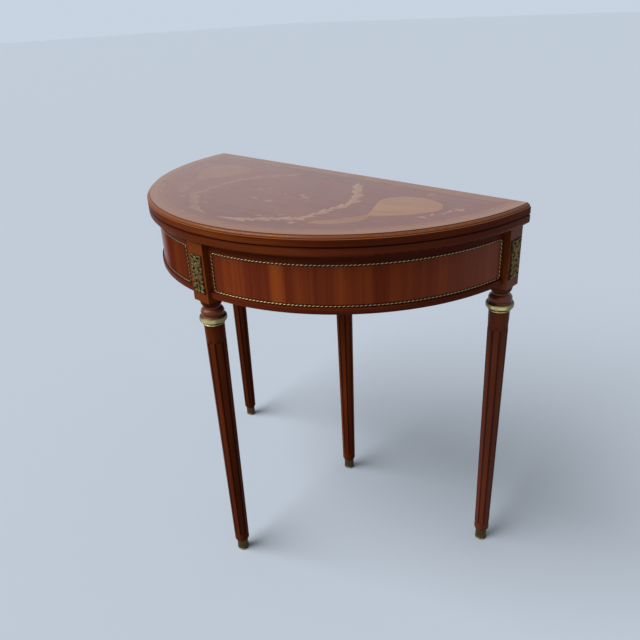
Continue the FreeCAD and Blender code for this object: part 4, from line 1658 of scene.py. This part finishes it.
@dataclass
class Undercarriage:
    """Rails, slide, bearers, blocks, buttons and the metal that holds them."""

    across: PlainWood = PlainWood("rail_wood", Grain.ALONG_X)
    lengthwise: PlainWood = PlainWood("runner_wood", Grain.ALONG_Y)
    upright: PlainWood = PlainWood("block_wood", Grain.ALONG_Z)
    steel: Brass = Brass("screw_steel", (0.34, 0.33, 0.32), (0.10, 0.07, 0.05), 0.34, 0.55)
    nail: Brass = Brass("nail_brass", (0.45, 0.35, 0.15), (0.07, 0.05, 0.025), 0.35, 0.5)
    hinge: Brass = Brass("hinge_brass", (0.60, 0.46, 0.19), (0.14, 0.095, 0.04), 0.30, 0.5)
    screw_bright: Colour = (0.55, 0.43, 0.19)
    screw_tarnish: Colour = (0.12, 0.08, 0.04)

    @staticmethod
    def names(places: Sequence[str], parts: Sequence[str]) -> List[str]:
        """Names of nodes that come once for each place."""
        return [f"{place}_{part}" for part in parts for place in places]

    def build(self) -> None:
        """Dress the hidden frame and the hardware."""
        sides = [hand for _, hand in HANDS]
        dress(self.across, "runner_tie", *self.names(sides, ("back_rail", "slide_head")))
        dress(self.lengthwise, *self.names(sides, ("runner", "bearer")))
        dress(self.upright, "top_buttons", *self.names(sides, ("corner_block", "front_block")))
        dress(self.steel, "slide_screws", "top_button_screws")
        dress(self.nail, "plaque_nails")
        hinges = self.names(("left", "middle", "right"), ("hinge_lower", "hinge_upper", "hinge_pin"))
        dress(self.hinge, *hinges)
        for row in ("lower", "upper"):
            low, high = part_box(f"hinge_{row}_screws")
            slots = (low[2] + high[2]) / 2
            screws = Brass(f"{row}_hinge_screws", self.screw_bright, self.screw_tarnish, 0.32, 0.5, slots)
            dress(screws, f"hinge_{row}_screws")
        log.info("undercarriage dressed")


@dataclass(frozen=True)
class FloorPaint(Finish):
    """Faintly mottled floor: a pale one to look at, and a darker one for the light that it throws back."""

    seen: Colour = (0.63, 0.71, 0.81)
    bounce: Colour = (0.26, 0.265, 0.275)

    @staticmethod
    def sight(shade: Shade) -> Sock:
        """Share of what the camera, the gloss and glass see, against light on the way to a surface."""
        path = shade.node("ShaderNodeLightPath", out="Is Camera Ray")
        return path.over(path.of("Is Glossy Ray")).over(path.of("Is Transmission Ray"))

    def paint(self, shade: Shade) -> None:
        """Matt paint.

        Args:
            shade: tree of the material.
        """
        mottle = shade.noise(shade.place(), 3.0, 4.0)
        pale = shade.blend(mottle * 0.10, self.seen, scaled(self.seen, 0.85))
        shade.surface({
            "Base Color": shade.blend(self.sight(shade), self.bounce, pale),
            "Roughness": 0.85,
            "Specular IOR Level": 0.15,
        })


@dataclass
class Studio:
    """Pale floor, soft light and the camera of the photograph."""

    paint: FloorPaint = FloorPaint("studio_floor")
    floor_size: float = 45.0
    floor_cells: int = 24
    seen_air: Colour = (0.575, 0.655, 0.750)
    lit_air: Colour = (1.0, 1.0, 1.0)
    air_strength: float = 0.22
    daylight_from: Tuple[float, float, float] = (-0.45, -0.75, 0.90)
    daylight_strength: float = 2.75
    daylight_spread: float = 0.9
    camera_place: Tuple[float, float, float] = (0.89425, -0.82051, 1.07569)
    yaw: float = 0.7706
    pitch: float = 0.4507
    roll: float = -0.0513
    lens: float = 36.135
    sensor: float = 36.0

    def floor(self) -> None:
        """Lay a wide plain floor."""
        mesh = bmesh.new()
        bmesh.ops.create_grid(
            mesh, x_segments=self.floor_cells, y_segments=self.floor_cells, size=self.floor_size
        )
        data = close_mesh(mesh, "studio_floor", self.paint.material())
        floor = bpy.data.objects.new("studio_floor", data)
        bpy.context.scene.collection.objects.link(floor)

    def air(self) -> None:
        """Even light from all round, and the pale colour that the camera and the gloss see."""
        world = bpy.data.worlds.new("studio_air")
        world.use_nodes = True
        shade = Shade(world.node_tree)
        light, seen = (
            shade.node("ShaderNodeBackground", None, {"Color": colour, "Strength": strength})
            for colour, strength in ((self.lit_air, self.air_strength), (self.seen_air, 1.0))
        )
        mix = shade.node("ShaderNodeMixShader", None, {0: self.paint.sight(shade), 1: light, 2: seen})
        shade.node("ShaderNodeOutputWorld", None, {"Surface": mix})
        bpy.context.scene.world = world

    def daylight(self) -> None:
        """Broad even light from the front, the left and above."""
        data = bpy.data.lights.new("daylight", "SUN")
        data.energy = self.daylight_strength
        data.angle = self.daylight_spread
        lamp = bpy.data.objects.new("daylight", data)
        lamp.rotation_euler = Vector(self.daylight_from).to_track_quat("Z", "Y").to_euler()
        bpy.context.scene.collection.objects.link(lamp)

    def camera(self) -> None:
        """Camera at the photograph's angle."""
        data = bpy.data.cameras.new("photograph")
        data.sensor_fit = "HORIZONTAL"
        data.sensor_width = self.sensor
        data.lens = self.lens
        camera = bpy.data.objects.new("photograph", data)
        place = Matrix.Translation(self.camera_place)
        turn = Matrix.Rotation(self.yaw, 4, "Z") @ Matrix.Rotation(math.pi / 2 - self.pitch, 4, "X")
        camera.matrix_world = place @ turn @ Matrix.Rotation(self.roll, 4, "Z")
        bpy.context.scene.collection.objects.link(camera)
        bpy.context.scene.camera = camera

    def build(self) -> None:
        """Set up the studio."""
        self.floor()
        self.air()
        self.daylight()
        self.camera()
        bpy.context.scene.view_settings.view_transform = "Standard"
        log.info("studio ready")


def main() -> None:
    """Build the table piece by piece and set it in the studio."""
    Studio().build()
    FoldingTop().build()
    Marquetry().build()
    Aprons().build()
    Plaques().build()
    Legs().build()
    Undercarriage().build()


if __name__ == "__main__":
    main()
